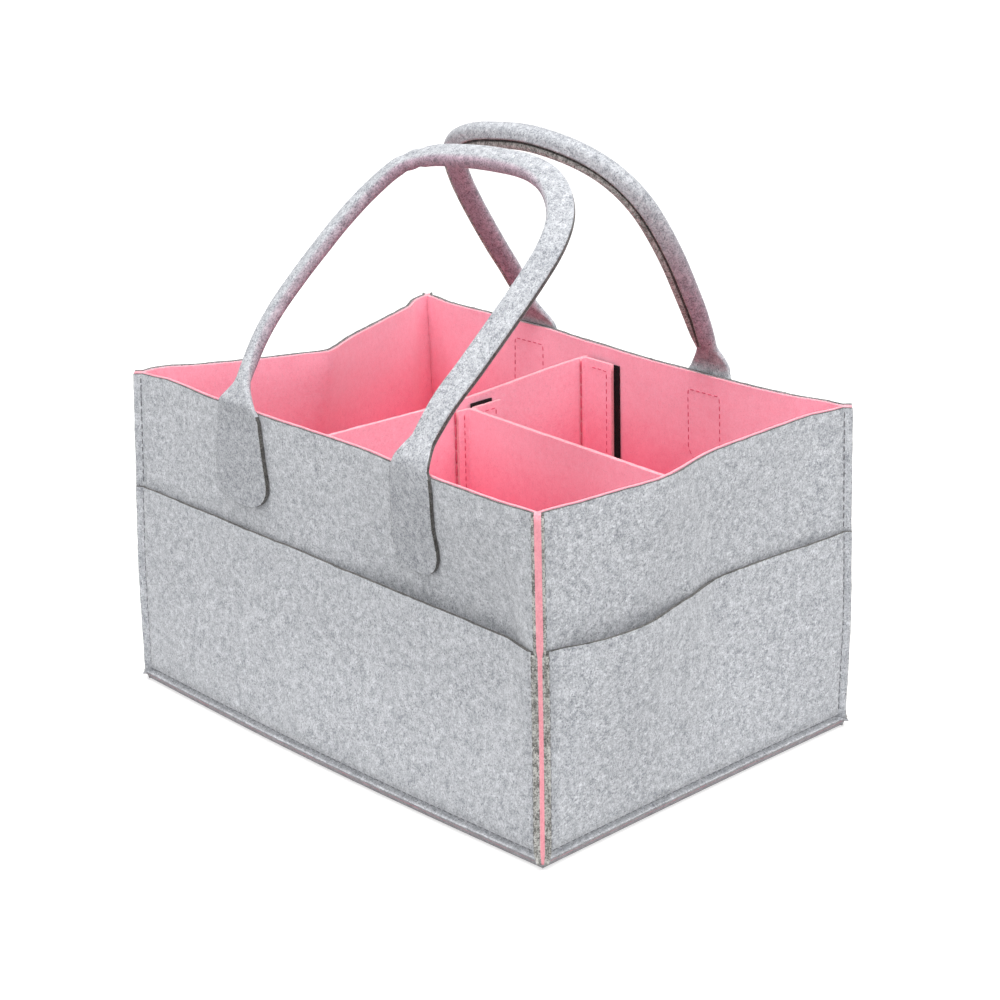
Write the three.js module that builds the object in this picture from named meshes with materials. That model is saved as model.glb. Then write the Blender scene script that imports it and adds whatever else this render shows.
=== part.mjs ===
// A felt caddy: four walls with linings and outside pockets, a floor, two swinging
// handles on sewn tabs, and two upright dividers that can be moved about.
// Millimetres, +Z up, origin at the bottom centre. The front wall faces -Y. The walls
// are named going round anticlockwise as seen from above: front, right, back, left.

import * as THREE from "three";

// Outside sizes, between the tips of the corner seams
const caddyLength = 330;
const caddyWidth = 230;
const rimHeight = 180;

// Felt and tape thicknesses, and the clearance between pieces that touch
const liningFelt = 1.4;
const shellFelt = 1.4;
const pocketFelt = 1.8;
const tabFelt = 2.2;
const panelFelt = 2.6;
const flapFelt = 2.2;
const hookTape = 1;
const clearance = 0.3;

// Seams: at each corner and along the foot both sheets run out together as a fin
const finReach = 4.2;
const footFinDrop = 2.2;
const cornerRun = 16; // length over which a wall swings away from its corner fin
const floorSlope = 2.8; // width of the strip by which the floor climbs to the foot seam

// Wall shape: how deep a wave of the rim is, and how deep the left wall is folded in
const waveDepth = 10;
const foldDepth = 50;
const waistHeight = 112; // where the walls are drawn in most, about the pocket tops
const fullHeight = 65; // where a plain wall has reached its waist line
const foldFullHeight = 112; // where the folded wall has reached its waist line

// Each corner: the side that it is on, how far its tip leans by the rim, pocket height
const corners = {
  frontLeft: { sideX: -1, sideY: -1, leanX: 2.1, leanY: 6.9, pocketTop: 115 },
  frontRight: { sideX: 1, sideY: -1, leanX: -0.5, leanY: 0.1, pocketTop: 110 },
  backRight: { sideX: 1, sideY: 1, leanX: -2.6, leanY: -1.6, pocketTop: 112 },
  backLeft: { sideX: -1, sideY: 1, leanX: -3, leanY: -2.5, pocketTop: 113 },
};

// Inset of a wall from the line between its corner tips, as [share of the way along,
// share of the wall's wave or fold depth], at the rim and at the waist, and the same
// for the pocket's top edge, whose second value is a share of the wave depth.
const frontRimShares = [
  [0, 0.6], [0.05, 0.74], [0.13, 0.62], [0.2, 0.48], [0.33, 0.47], [0.45, 0.59],
  [0.54, 0.72], [0.61, 0.66], [0.67, 0.47], [0.77, 0.3], [0.89, 0.24], [1, 0.3],
];
const frontWaistShares = [
  [0, 0.56], [0.05, 0.58], [0.2, 0.64], [0.35, 0.7], [0.5, 0.77], [0.55, 0.92],
  [0.6, 1.12], [0.69, 1.2], [0.8, 1.25], [0.9, 1.25], [0.96, 1.05], [1, 0.9],
];
const frontPocketShares = [[0, 0.46], [0.25, 0.56], [0.5, 0.67], [0.75, 0.77], [1, 0.84]];
const rightRimShares = [
  [0, 0.3], [0.04, 0.2], [0.13, 0.09], [0.23, -0.09], [0.33, -0.35], [0.37, -0.27],
  [0.41, -0.09], [0.46, 0.19], [0.54, 0.58], [0.68, 0.72], [0.78, 0.79], [0.91, 0.84],
  [1, 0.7],
];
const rightWaistShares = [
  [0, 0.55], [0.05, 0.45], [0.12, 0.24], [0.17, 0.13], [0.23, 0.09], [0.3, 0.1],
  [0.38, 0.24], [0.45, 0.42], [0.49, 0.61], [0.55, 1.02], [0.63, 1.06], [0.7, 0.99],
  [0.76, 0.91], [0.86, 0.8], [1, 0.6],
];
const rightPocketShares = [
  [0, 0.5], [0.05, 0.2], [0.12, -0.22], [0.17, -0.43], [0.23, -0.55], [0.3, -0.46],
  [0.38, -0.04], [0.45, 0.3], [0.55, 0.95], [0.63, 0.98], [0.7, 0.9], [0.76, 0.78],
  [0.86, 0.55], [1, 0.35],
];
const backRimShares = [
  [0, 0.57], [0.04, 0.62], [0.1, 0.92], [0.2, 1.19], [0.38, 1.2], [0.47, 1.12],
  [0.52, 1], [0.56, 0.93], [0.6, 0.8], [0.66, 0.62], [0.8, 0.68], [0.95, 0.75],
  [1, 0.62],
];
const backWaistShares = [
  [0, 0.95], [0.1, 1.15], [0.2, 1.23], [0.4, 1.23], [0.47, 1.12], [0.53, 0.98],
  [0.65, 0.87], [0.8, 0.86], [1, 0.82],
];
const backPocketShares = [[0, 0.78], [0.5, 0.77], [1, 0.74]];
const leftRimShares = [
  [0, 0.1], [0.07, 0.22], [0.2, 0.42], [0.31, 0.59], [0.42, 0.77], [0.5, 0.94],
  [0.548, 1.01], [0.6, 0.91], [0.68, 0.75], [0.76, 0.58], [0.835, 0.39], [0.9, 0.22],
  [0.95, 0.12], [1, 0.1],
];
const leftWaistShares = [
  [0, 0.09], [0.07, 0.18], [0.2, 0.34], [0.31, 0.48], [0.42, 0.61], [0.5, 0.72],
  [0.548, 0.76], [0.6, 0.71], [0.68, 0.59], [0.76, 0.46], [0.835, 0.32], [0.9, 0.19],
  [0.95, 0.11], [1, 0.09],
];
const leftPocketShares = [
  [0, 0.4], [0.15, 0.25], [0.35, 0.1], [0.5, -0.05], [0.63, -0.25], [0.77, -0.55],
  [0.87, -0.3], [0.95, 0.15], [1, 0.4],
];

// Where the wall sheets have their columns, and their rows below and above the waist
const frontColumnShares = [
  0.055, 0.11, 0.19, 0.28, 0.37, 0.45, 0.53, 0.61, 0.69, 0.78, 0.87, 0.945,
];
const rightColumnShares = [
  0.075, 0.14, 0.22, 0.3, 0.37, 0.43, 0.49, 0.56, 0.65, 0.75, 0.85, 0.925,
];
const backColumnShares = [
  0.055, 0.12, 0.2, 0.29, 0.38, 0.46, 0.53, 0.6, 0.69, 0.78, 0.88, 0.945,
];
const leftColumnShares = [
  0.075, 0.16, 0.26, 0.36, 0.46, 0.51, 0.548, 0.59, 0.66, 0.76, 0.85, 0.925,
];
const lowerRowShares = [0.25, 0.5, 0.75, 1];
const upperRowShares = [0.33, 0.67, 1];

// Handle tabs, sewn to the outside of the front and back walls
const tabHalfWidth = 19.2;
const tabDrop = 53;
const tabBottom = rimHeight - tabDrop;
const tabFoot = 6; // half the width of the straight stretch at a tab's lowest edge
const frontTabs = { left: -66.5, right: 70.5 };
const backTabs = { left: -69, right: 69 };
// A tab's outline from its lowest edge to its roll: [share of height, share of half width]
const tabOutlineShares = [
  [0.03, 0.57], [0.09, 0.81], [0.19, 0.97], [0.32, 1], [0.5, 0.95], [0.67, 0.84], [0.83, 0.7],
];
const tabColumnShares = [-1, -0.5, 0, 0.5, 1];
const neckShare = 0.5; // share of the way from the rim to the roll where a tab is straight
const tabStandoff = 0.6; // room between a tab and the facets of the wall that it lies on

// The fold at which a handle swings: a small roll of felt along the top of each tab
const foldRadius = 2.5;
const foldRise = 10;
const foldHeight = rimHeight + foldRise;
const foldHalfWidth = 11.5;
const frontFoldInset = 3;
const backFoldInset = 6.5;
const frontFoldY = frontFoldInset - caddyWidth / 2;
const backFoldY = caddyWidth / 2 - backFoldInset;
const foldSteps = 6;

// Handle loops: folded felt tubes, thin at the neck
const legHalfWidth = 7.8;
const legHalfThick = 4;
const neckHalfThick = 1.2;
const loopStations = 36;
const loopSides = 12;
const sectionPower = 0.8; // below 1 squares up the oval of the tube
const loopTwist = 45; // degrees between the tube's wide way and the plane of the loop
// The twist along a loop: [share of its length, share of the twist]
const frontTwistShares = [[0, 0.36], [0.5, 0.4], [1, 0.33]];
const backTwistShares = [[0, 0.36], [0.28, 0.36], [0.44, -0.7], [0.7, -0.85], [1, -0.85]];
const frontLoop = { lean: 46, halfSpan: 76, rise: 168, foldY: frontFoldY, inward: 1 };
const backLoop = { lean: 33, halfSpan: 75, rise: 151, foldY: backFoldY, inward: -1 };
// The middle line of a loop: [share of half span, share of rise above the fold]
const frontLoopShares = [
  [-0.9, 0.07], [-0.95, 0.17], [-0.99, 0.3], [-0.98, 0.43], [-0.95, 0.55], [-0.91, 0.67],
  [-0.83, 0.8], [-0.7, 0.91], [-0.48, 0.965], [-0.16, 0.99], [0.16, 1], [0.47, 0.995],
  [0.7, 0.965], [0.88, 0.91], [1, 0.84], [1.06, 0.75], [1.07, 0.64], [1.05, 0.47],
  [1.02, 0.3], [0.98, 0.16], [0.95, 0.07],
];
const backLoopShares = [
  [-0.93, 0.08], [-0.95, 0.2], [-0.96, 0.33], [-0.96, 0.46], [-0.95, 0.58], [-0.92, 0.7],
  [-0.85, 0.81], [-0.7, 0.9], [-0.47, 0.955], [-0.18, 0.985], [0.12, 1], [0.36, 0.99],
  [0.6, 0.96], [0.79, 0.91], [0.92, 0.84], [1, 0.75], [1.03, 0.64], [1.03, 0.5],
  [1, 0.35], [0.96, 0.2], [0.93, 0.08],
];
// Half width and half thickness along a loop: [share of its length, share of the leg's]
const loopWidthShares = [
  [0, 1.42], [0.03, 1.3], [0.08, 1.04], [0.14, 1], [0.86, 1], [0.92, 1.04], [0.97, 1.3],
  [1, 1.42],
];
const loopThickShares = [
  [0, 0.3], [0.03, 0.5], [0.08, 0.85], [0.14, 1], [0.3, 0.98], [0.38, 0.92], [0.5, 1.2],
  [0.62, 0.92], [0.7, 0.98], [0.86, 1], [0.92, 0.85], [0.97, 0.5], [1, 0.3],
];
const neckTurnShare = 0.1; // share of a loop's length over which its neck untwists

// Dividers: one across the caddy, one from it to the right wall
const crossDrop = 10; // from the rim down to the cross divider's top
const crossTop = rimHeight - crossDrop;
const crossX = -22.6;
const crossBow = 4.5;
const crossFrontInset = 10.8;
const crossBackInset = 13;
const crossFrontY = crossFrontInset - caddyWidth / 2;
const crossBackY = caddyWidth / 2 - crossBackInset;
const crossBowShares = [0, 0.1, 0.2, 0.3, 0.4, 0.5, 0.6, 0.7, 0.8, 0.9, 1];
const endFlapWidth = 18.5;
const longDrop = 15; // from the rim down to the long divider's top
const longTop = rimHeight - longDrop;
const longStartY = 6;
const longEndY = -3;
const longEndInset = 7.4;
const longEndX = caddyLength / 2 - longEndInset;
const longLip = 8.4;
const innerTabWidth = 23.5;
const outerTabWidth = 24.5;
const flapLift = 1.5; // a flap's lower edge above that of its panel
const hookInset = 3; // from a flap's fold to the near edge of its hook tape
const hookOverhang = 4.7; // how far the end flaps' hook tape shows beyond the flap
const hookMargin = 2; // how far the tabs' hook tape stays inside the tab
const hookDrop = 1; // hook tape's upper edge below the end flap's
const innerHookRise = 2; // hook tape's upper edge above the inner tab's
const hookFoot = 6; // hook tape's lower edge above the flap's

// Colours
const greyFelt = "#bcbdc2";
const pinkFelt = "#f58ba2";
const blackTape = "#1c1b1d";

const unitZ = new THREE.Vector3(0, 0, 1);
const caddy = new THREE.Group();

function ease(t) {
  const s = THREE.MathUtils.clamp(t, 0, 1);
  return s * s * (3 - 2 * s);
}

// A smooth curve through [place, value] pairs, read at any place between them.
function through(table) {
  const slope = (i) => {
    const a = table[Math.max(i - 1, 0)];
    const b = table[Math.min(i + 1, table.length - 1)];
    return (b[1] - a[1]) / (b[0] - a[0]);
  };
  return (place) => {
    let i = 0;
    while (i < table.length - 2 && place > table[i + 1][0]) i += 1;
    const [x0, y0] = table[i];
    const [x1, y1] = table[i + 1];
    const run = x1 - x0;
    const t = THREE.MathUtils.clamp((place - x0) / run, 0, 1);
    const bend0 = slope(i) * run * t * (1 - t) * (1 - t);
    const bend1 = slope(i + 1) * run * t * t * (1 - t);
    return THREE.MathUtils.lerp(y0, y1, ease(t)) + bend0 - bend1;
  };
}

// The stack of sheets, measured outwards from the surface that a wall or floor is built on
const liningNear = clearance / 2;
const liningFar = liningNear + liningFelt;
const shellNear = liningFar + clearance;
const shellFar = shellNear + shellFelt;
const pocketNear = shellFar + clearance;
const pocketFar = pocketNear + pocketFelt;

// Heights at the foot: the floor's flat, the tips of the foot fin and its inner edge
const floorLevel = shellFar;
const finSlant = Math.hypot(finReach, footFinDrop);
const footTipHeight =
  (shellFar * finSlant * finReach) / (finReach * finReach + (footFinDrop * footFinDrop) / 2);
const crestHeight = footTipHeight + footFinDrop;

function cornerTip(corner, height) {
  const lean = Math.max(0, (height - crestHeight) / (rimHeight - crestHeight));
  const x = (corner.sideX * caddyLength) / 2 + corner.leanX * lean;
  const y = (corner.sideY * caddyWidth) / 2 + corner.leanY * lean;
  return new THREE.Vector3(x, y, height);
}

function makeWall(from, to, depth, full, rim, waist, pocket, columns) {
  const foot = cornerTip(to, 0).sub(cornerTip(from, 0));
  const along = foot.clone().normalize();
  return {
    from,
    to,
    span: foot.length(),
    along,
    out: along.clone().cross(unitZ),
    depth,
    full,
    rim: through(rim),
    waist: through(waist),
    pocket: through(pocket),
    columns,
  };
}

const walls = {
  front: makeWall(
    corners.frontLeft, corners.frontRight, waveDepth, fullHeight,
    frontRimShares, frontWaistShares, frontPocketShares, frontColumnShares,
  ),
  right: makeWall(
    corners.frontRight, corners.backRight, waveDepth, fullHeight,
    rightRimShares, rightWaistShares, rightPocketShares, rightColumnShares,
  ),
  back: makeWall(
    corners.backRight, corners.backLeft, waveDepth, fullHeight,
    backRimShares, backWaistShares, backPocketShares, backColumnShares,
  ),
  left: makeWall(
    corners.backLeft, corners.frontLeft, foldDepth, foldFullHeight,
    leftRimShares, leftWaistShares, leftPocketShares, leftColumnShares,
  ),
};

function pocketTop(wall, share) {
  return THREE.MathUtils.lerp(wall.from.pocketTop, wall.to.pocketTop, share);
}

// Close to a corner every inset gives way to that of the fin's inner edge.
function besideFin(wall, share, inset) {
  const fromTip = Math.min(share, 1 - share) * wall.span;
  return THREE.MathUtils.lerp(finReach, inset, ease((fromTip - finReach) / cornerRun));
}

function wallInset(wall, share, height) {
  const waist = wall.waist(share) * wall.depth;
  const rim = wall.rim(share) * wall.depth;
  const climb = ease((height - crestHeight) / (wall.full - crestHeight));
  const below = THREE.MathUtils.lerp(finReach, waist, climb);
  const flare = ease((height - waistHeight) / (rimHeight - waistHeight));
  return besideFin(wall, share, THREE.MathUtils.lerp(below, rim, flare));
}

function pocketInset(wall, share, height) {
  const top = wall.pocket(share) * waveDepth;
  const climb = ease((height - crestHeight) / (pocketTop(wall, share) - crestHeight));
  return besideFin(wall, share, THREE.MathUtils.lerp(finReach, top, climb));
}

function wallPoint(wall, share, height, inset) {
  const tip = cornerTip(wall.from, height).lerp(cornerTip(wall.to, height), share);
  return tip.addScaledVector(wall.out, -inset);
}

// The inner edge of a corner fin. The fin runs diagonally, except at the foot's tip row.
function finEdge(wall, corner, towards, height, atFootTip) {
  const edge = cornerTip(corner, height).addScaledVector(wall.along, towards * finReach);
  return atFootTip ? edge : edge.addScaledVector(wall.out, -finReach);
}

// The grid of points on which a wall's sheets are built, column by column from the foot.
function wallGrid(wall, insetAt, rowHeights) {
  const column = (share, fin) => {
    const heights = [footTipHeight, crestHeight, ...rowHeights(share)];
    return heights.map((height, row) => fin(height, row === 0, row === 1));
  };
  const interior = wall.columns.map((share) =>
    column(share, (height, atTip, atCrest) => {
      const inset = atTip ? 0 : atCrest ? finReach : insetAt(wall, share, height);
      return wallPoint(wall, share, height, inset);
    }),
  );
  return [
    column(0, (height) => cornerTip(wall.from, height)),
    column(0, (height, atTip) => finEdge(wall, wall.from, 1, height, atTip)),
    ...interior,
    column(1, (height, atTip) => finEdge(wall, wall.to, -1, height, atTip)),
    column(1, (height) => cornerTip(wall.to, height)),
  ];
}

// The two triangles of each cell: the first and last are split along the fins' true edge.
function cellTriangles(columns, rows) {
  const triangles = [];
  const last = columns - 2;
  for (let i = 0; i <= last; i += 1) {
    for (let j = 0; j < rows - 1; j += 1) {
      const a = i * rows + j;
      const b = a + rows;
      const rising = i === 0 || (i >= last / 2 && !(i === last && j === 0));
      if (rising) triangles.push([a, b, b + 1], [a, b + 1, a + 1]);
      else triangles.push([a, b, a + 1], [b, b + 1, a + 1]);
    }
  }
  return triangles;
}

// For each point, the step that moves all the faces round it outwards by one.
function mitres(points, triangles) {
  const tiny = 1e-6;
  const sums = points.map(() => ({ normal: new THREE.Vector3(), terms: [] }));
  for (const triangle of triangles) {
    const normal = new THREE.Triangle(...triangle.map((k) => points[k])).getNormal(
      new THREE.Vector3(),
    );
    for (const k of triangle) {
      sums[k].normal.add(normal);
      sums[k].terms.push(normal);
    }
  }
  return sums.map(({ normal, terms }) => {
    const total = (p, q) => terms.reduce((sum, n) => sum + n[p] * n[q], p === q ? tiny : 0);
    const matrix = new THREE.Matrix3().set(
      total("x", "x"), total("x", "y"), total("x", "z"),
      total("y", "x"), total("y", "y"), total("y", "z"),
      total("z", "x"), total("z", "y"), total("z", "z"),
    );
    return normal.clone().applyMatrix3(matrix.invert());
  });
}

function meshGeometry(points, triangles) {
  const geometry = new THREE.BufferGeometry().setFromPoints(points);
  geometry.setIndex(triangles.flat());
  return geometry;
}

// A closed sheet between two offsets of one surface, with walls along its open border.
function sheetGeometry(points, triangles, steps, near, far) {
  const count = points.length;
  const inner = points.map((p, k) => p.clone().addScaledVector(steps[k], near));
  const outer = points.map((p, k) => p.clone().addScaledVector(steps[k], far));
  const faces = [];
  const edges = new Map();
  for (const [a, b, c] of triangles) {
    faces.push([a + count, b + count, c + count], [c, b, a]);
    for (const [p, q] of [[a, b], [b, c], [c, a]]) {
      const back = q + "," + p;
      if (edges.has(back)) edges.delete(back);
      else edges.set(p + "," + q, [p, q]);
    }
  }
  for (const [p, q] of edges.values()) {
    faces.push([p, q, q + count], [p, q + count, p + count]);
  }
  return meshGeometry([...inner, ...outer], faces);
}

function addPiece(name, geometry, color, roughness = 1) {
  const material = new THREE.MeshStandardMaterial({ color, roughness, metalness: 0 });
  const mesh = new THREE.Mesh(geometry, material);
  mesh.name = name;
  caddy.add(mesh);
  return mesh;
}

// Walls: lining, shell and pocket are offsets of the wall's surface, so they never meet
function lowerHeights(wall, share) {
  const top = pocketTop(wall, share);
  return lowerRowShares.map((row) => THREE.MathUtils.lerp(crestHeight, top, row));
}

function wallHeights(wall, share) {
  const upper = upperRowShares.map((row) =>
    THREE.MathUtils.lerp(pocketTop(wall, share), rimHeight, row),
  );
  return [...lowerHeights(wall, share), ...upper];
}

function makeWallPieces(side) {
  const wall = walls[side];
  const grid = wallGrid(wall, wallInset, (share) => wallHeights(wall, share));
  const points = grid.flat();
  const triangles = cellTriangles(grid.length, grid[0].length);
  const steps = mitres(points, triangles);
  const sheet = (near, far) => sheetGeometry(points, triangles, steps, near, far);
  addPiece(side + "_wall_lining", sheet(liningNear, liningFar), pinkFelt);
  const shell = addPiece(side + "_wall_shell", sheet(shellNear, shellFar), greyFelt);

  const low = wallGrid(wall, pocketInset, (share) => lowerHeights(wall, share));
  const lowPoints = low.flat();
  const lowTriangles = cellTriangles(low.length, low[0].length);
  const lowSteps = mitres(lowPoints, lowTriangles);
  const pocket = sheetGeometry(lowPoints, lowTriangles, lowSteps, pocketNear, pocketFar);
  addPiece(side + "_pocket", pocket, greyFelt);
  return shell;
}

// Floor: a flat that climbs to the foot seam and runs out below the walls' fins
function makeFloor() {
  const ring = (inset, height) => {
    const x = caddyLength / 2 - inset;
    const y = caddyWidth / 2 - inset;
    const plan = [[-x, -y], [-x, y], [x, y], [x, -y]];
    return plan.map(([px, py]) => new THREE.Vector3(px, py, height));
  };
  const points = [
    ...ring(0, footTipHeight),
    ...ring(finReach, crestHeight),
    ...ring(finReach + floorSlope, floorLevel),
  ];
  const sides = 4;
  const flat = 2 * sides;
  const triangles = [[flat, flat + 1, flat + 2], [flat, flat + 2, flat + 3]];
  for (let level = 0; level < 2; level += 1) {
    for (let k = 0; k < sides; k += 1) {
      const a = level * sides + k;
      const b = level * sides + ((k + 1) % sides);
      triangles.push([a, b, b + sides], [a, b + sides, a + sides]);
    }
  }
  const steps = mitres(points, triangles);
  const sheet = (near, far) => sheetGeometry(points, triangles, steps, near, far);
  addPiece("base_lining", sheet(liningNear, liningFar), pinkFelt);
  addPiece("base_shell", sheet(shellNear, shellFar), greyFelt);
}

// Handle tabs: each lies on its wall and rises above the rim to the roll of its fold
function makeTab(name, wall, shell, centre, foldY) {
  const reach = caddyLength; // how far outside the wall a probing ray starts
  const seat = tabFelt / 2 + tabStandoff;
  const topSeat = rimHeight - shellFelt;
  const foldAngle = Math.asin(tabFelt / 2 / foldRadius);
  const necking = foldHeight - foldRadius * Math.cos(foldAngle);
  const ray = new THREE.Raycaster();

  const onWall = (x, height) => {
    const start = new THREE.Vector3(x, 0, Math.min(height, topSeat));
    start.addScaledVector(wall.out, reach);
    ray.set(start, wall.out.clone().negate());
    return ray.intersectObject(shell)[0].point.addScaledVector(wall.out, seat).y;
  };
  const row = (height, halfWidth, halfThick) => ({ height, halfWidth, halfThick });
  const widest = Math.max(tabHalfWidth, foldHalfWidth);
  const rows = [
    row(tabBottom, tabFoot, tabFelt / 2),
    ...tabOutlineShares.map(([h, w]) =>
      row(THREE.MathUtils.lerp(tabBottom, foldHeight, h), w * widest, tabFelt / 2),
    ),
    row(THREE.MathUtils.lerp(rimHeight, necking, neckShare), foldHalfWidth, tabFelt / 2),
  ];
  for (let k = 0; k < foldSteps; k += 1) {
    const angle = THREE.MathUtils.lerp(foldAngle, Math.PI, k / (foldSteps - 1));
    const height = foldHeight - foldRadius * Math.cos(angle);
    const halfThick = k === foldSteps - 1 ? 0 : foldRadius * Math.sin(angle);
    rows.push(row(height, foldHalfWidth, halfThick));
  }

  const middle = (x, height) => {
    const rise = THREE.MathUtils.clamp((height - topSeat) / (necking - topSeat), 0, 1);
    return new THREE.Vector3(x, THREE.MathUtils.lerp(onWall(x, height), foldY, rise), height);
  };
  const direction = Math.sign(wall.along.x);
  const points = tabColumnShares.flatMap((share) =>
    rows.map(({ height, halfWidth }) => middle(centre + direction * share * halfWidth, height)),
  );
  const steps = tabColumnShares.flatMap(() =>
    rows.map(({ halfThick }) => wall.out.clone().multiplyScalar(halfThick)),
  );
  const triangles = cellTriangles(tabColumnShares.length, rows.length);
  addPiece(name, sheetGeometry(points, triangles, steps, -1, 1), greyFelt);
}

// Handle loops: an oval tube along a leaning arch, flattened where it meets the tabs
function makeLoop(name, loop, shares, twists, tabs) {
  const lean = THREE.MathUtils.degToRad(loop.lean);
  const up = new THREE.Vector3(0, loop.inward * Math.sin(lean), Math.cos(lean));
  const normal = new THREE.Vector3(0, loop.inward * Math.cos(lean), -Math.sin(lean));
  const fold = new THREE.Vector3(0, loop.foldY, foldHeight);
  const at = (x, rise) => fold.clone().addScaledVector(up, rise).setX(x);
  const neck = foldRadius + clearance;
  const points = [
    at(tabs.left, neck),
    ...shares.map(([x, rise]) => at(x * loop.halfSpan, rise * loop.rise)),
    at(tabs.right, neck),
  ];
  const curve = new THREE.CatmullRomCurve3(points);
  const widthAt = through(loopWidthShares);
  const thickAt = through(loopThickShares);
  const twistAt = through(twists);

  const ring = (station) => {
    const share = station / loopStations;
    const end = station === 0 ? 1 : station === loopStations ? -1 : 0;
    const tangent = end ? up.clone().multiplyScalar(end) : curve.getTangentAt(share);
    const outward = normal.clone().cross(tangent).multiplyScalar(-loop.inward).normalize();
    const nearEnd = Math.min(share, 1 - share) / neckTurnShare;
    const twist = THREE.MathUtils.degToRad(loopTwist) * twistAt(share) * ease(nearEnd);
    const wide = outward
      .clone()
      .multiplyScalar(Math.cos(twist))
      .addScaledVector(normal, Math.sin(twist));
    const thin = tangent.clone().cross(wide).normalize();
    const halfWidth = widthAt(share) * legHalfWidth;
    const halfThick = Math.max(neckHalfThick, thickAt(share) * legHalfThick);
    const centre = curve.getPointAt(share);
    return Array.from({ length: loopSides }, (_, k) => {
      const angle = (2 * Math.PI * k) / loopSides;
      const across = Math.sign(Math.cos(angle)) * Math.abs(Math.cos(angle)) ** sectionPower;
      const over = Math.sign(Math.sin(angle)) * Math.abs(Math.sin(angle)) ** sectionPower;
      return centre
        .clone()
        .addScaledVector(wide, across * halfWidth)
        .addScaledVector(thin, over * halfThick);
    });
  };
  const rings = Array.from({ length: loopStations + 1 }, (_, station) => ring(station));
  const triangles = [];
  for (let station = 0; station < loopStations; station += 1) {
    for (let k = 0; k < loopSides; k += 1) {
      const a = station * loopSides + k;
      const b = station * loopSides + ((k + 1) % loopSides);
      triangles.push([a, b, b + loopSides], [a, b + loopSides, a + loopSides]);
    }
  }
  const last = loopStations * loopSides;
  for (let k = 1; k < loopSides - 1; k += 1) {
    triangles.push([0, k + 1, k], [last, last + k, last + k + 1]);
  }
  addPiece(name, meshGeometry(rings.flat(), triangles), greyFelt);
}

// An upright sheet whose middle follows a line in plan, with mitred corners.
function uprightSheet(line, thickness, bottom, top) {
  const path = line.map(([x, y]) => new THREE.Vector2(x, y));
  const ways = path.slice(1).map((p, k) => p.clone().sub(path[k]).normalize());
  const side = (way) => new THREE.Vector2(-way.y, way.x);
  const step = path.map((_, k) => {
    const before = side(ways[Math.max(k - 1, 0)]);
    const after = side(ways[Math.min(k, ways.length - 1)]);
    const sum = before.clone().add(after);
    return sum.multiplyScalar(thickness / sum.dot(before) / 2);
  });
  const left = path.map((p, k) => p.clone().add(step[k]));
  const right = path.map((p, k) => p.clone().sub(step[k]));
  const shape = new THREE.Shape([...right, ...left.reverse()]);
  const geometry = new THREE.ExtrudeGeometry(shape, { depth: top - bottom, bevelEnabled: false });
  return geometry.translate(0, 0, bottom);
}

const panelBottom = floorLevel - liningNear + clearance;
const flapBottom = panelBottom + flapLift;

// Cross divider: a slightly bowed panel with a flap lying on the wall at each end
function makeCrossDivider() {
  const run = crossBackY - crossFrontY;
  const line = crossBowShares.map((share) => [
    crossX + (crossBow * (1 - Math.cos(2 * Math.PI * share))) / 2,
    crossFrontY + share * run,
  ]);
  addPiece("cross_divider_panel", uprightSheet(line, panelFelt, panelBottom, crossTop), pinkFelt);

  const foldX = crossX + panelFelt / 2 + clearance;
  const ends = [
    { side: "front", wallY: crossFrontY, inward: 1 },
    { side: "back", wallY: crossBackY, inward: -1 },
  ];
  for (const { side, wallY, inward } of ends) {
    const tapeY = wallY + (inward * hookTape) / 2;
    const flapY = wallY + inward * (hookTape + clearance + flapFelt / 2);
    const flapEnd = foldX + endFlapWidth;
    const flap = [[foldX, flapY], [flapEnd, flapY]];
    const tape = [[foldX + hookInset, tapeY], [flapEnd + hookOverhang, tapeY]];
    addPiece(
      `cross_divider_${side}_flap`,
      uprightSheet(flap, flapFelt, flapBottom, crossTop),
      pinkFelt,
    );
    addPiece(
      `cross_divider_${side}_hook_strip`,
      uprightSheet(tape, hookTape, flapBottom + hookFoot, crossTop - hookDrop),
      blackTape,
    );
  }
}

// Long divider: its lip and inner tab grip the cross divider, its outer tab the right wall
function makeLongDivider() {
  const crossFace = crossX + crossBow + panelFelt / 2;
  const innerTapeX = crossFace + clearance + hookTape / 2;
  const innerX = innerTapeX + hookTape / 2 + clearance + flapFelt / 2;
  const line = [
    [innerX, longStartY - longLip],
    [innerX, longStartY],
    [longEndX, longEndY],
  ];
  addPiece("long_divider_panel", uprightSheet(line, panelFelt, panelBottom, longTop), pinkFelt);

  const innerFoldY = longStartY + panelFelt / 2 + clearance;
  const innerEnd = innerFoldY + innerTabWidth;
  const innerTab = [[innerX, innerFoldY], [innerX, innerEnd]];
  const innerTape = [[innerTapeX, innerFoldY + hookInset], [innerTapeX, innerEnd - hookMargin]];
  addPiece("long_divider_inner_tab", uprightSheet(innerTab, flapFelt, flapBottom, longTop), pinkFelt);
  addPiece(
    "long_divider_inner_hook_strip",
    uprightSheet(innerTape, hookTape, flapBottom + hookFoot, longTop + innerHookRise),
    blackTape,
  );

  const outerTapeX = longEndX - hookTape / 2;
  const outerX = outerTapeX - hookTape / 2 - clearance - flapFelt / 2;
  const outerFoldY = longEndY - panelFelt / 2 - clearance;
  const outerEnd = outerFoldY - outerTabWidth;
  const outerTab = [[outerX, outerFoldY], [outerX, outerEnd]];
  const outerTape = [[outerTapeX, outerFoldY - hookInset], [outerTapeX, outerEnd + hookMargin]];
  addPiece("long_divider_outer_tab", uprightSheet(outerTab, flapFelt, flapBottom, longTop), pinkFelt);
  addPiece(
    "long_divider_outer_hook_strip",
    uprightSheet(outerTape, hookTape, flapBottom + hookFoot, longTop - hookDrop),
    blackTape,
  );
}

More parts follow.
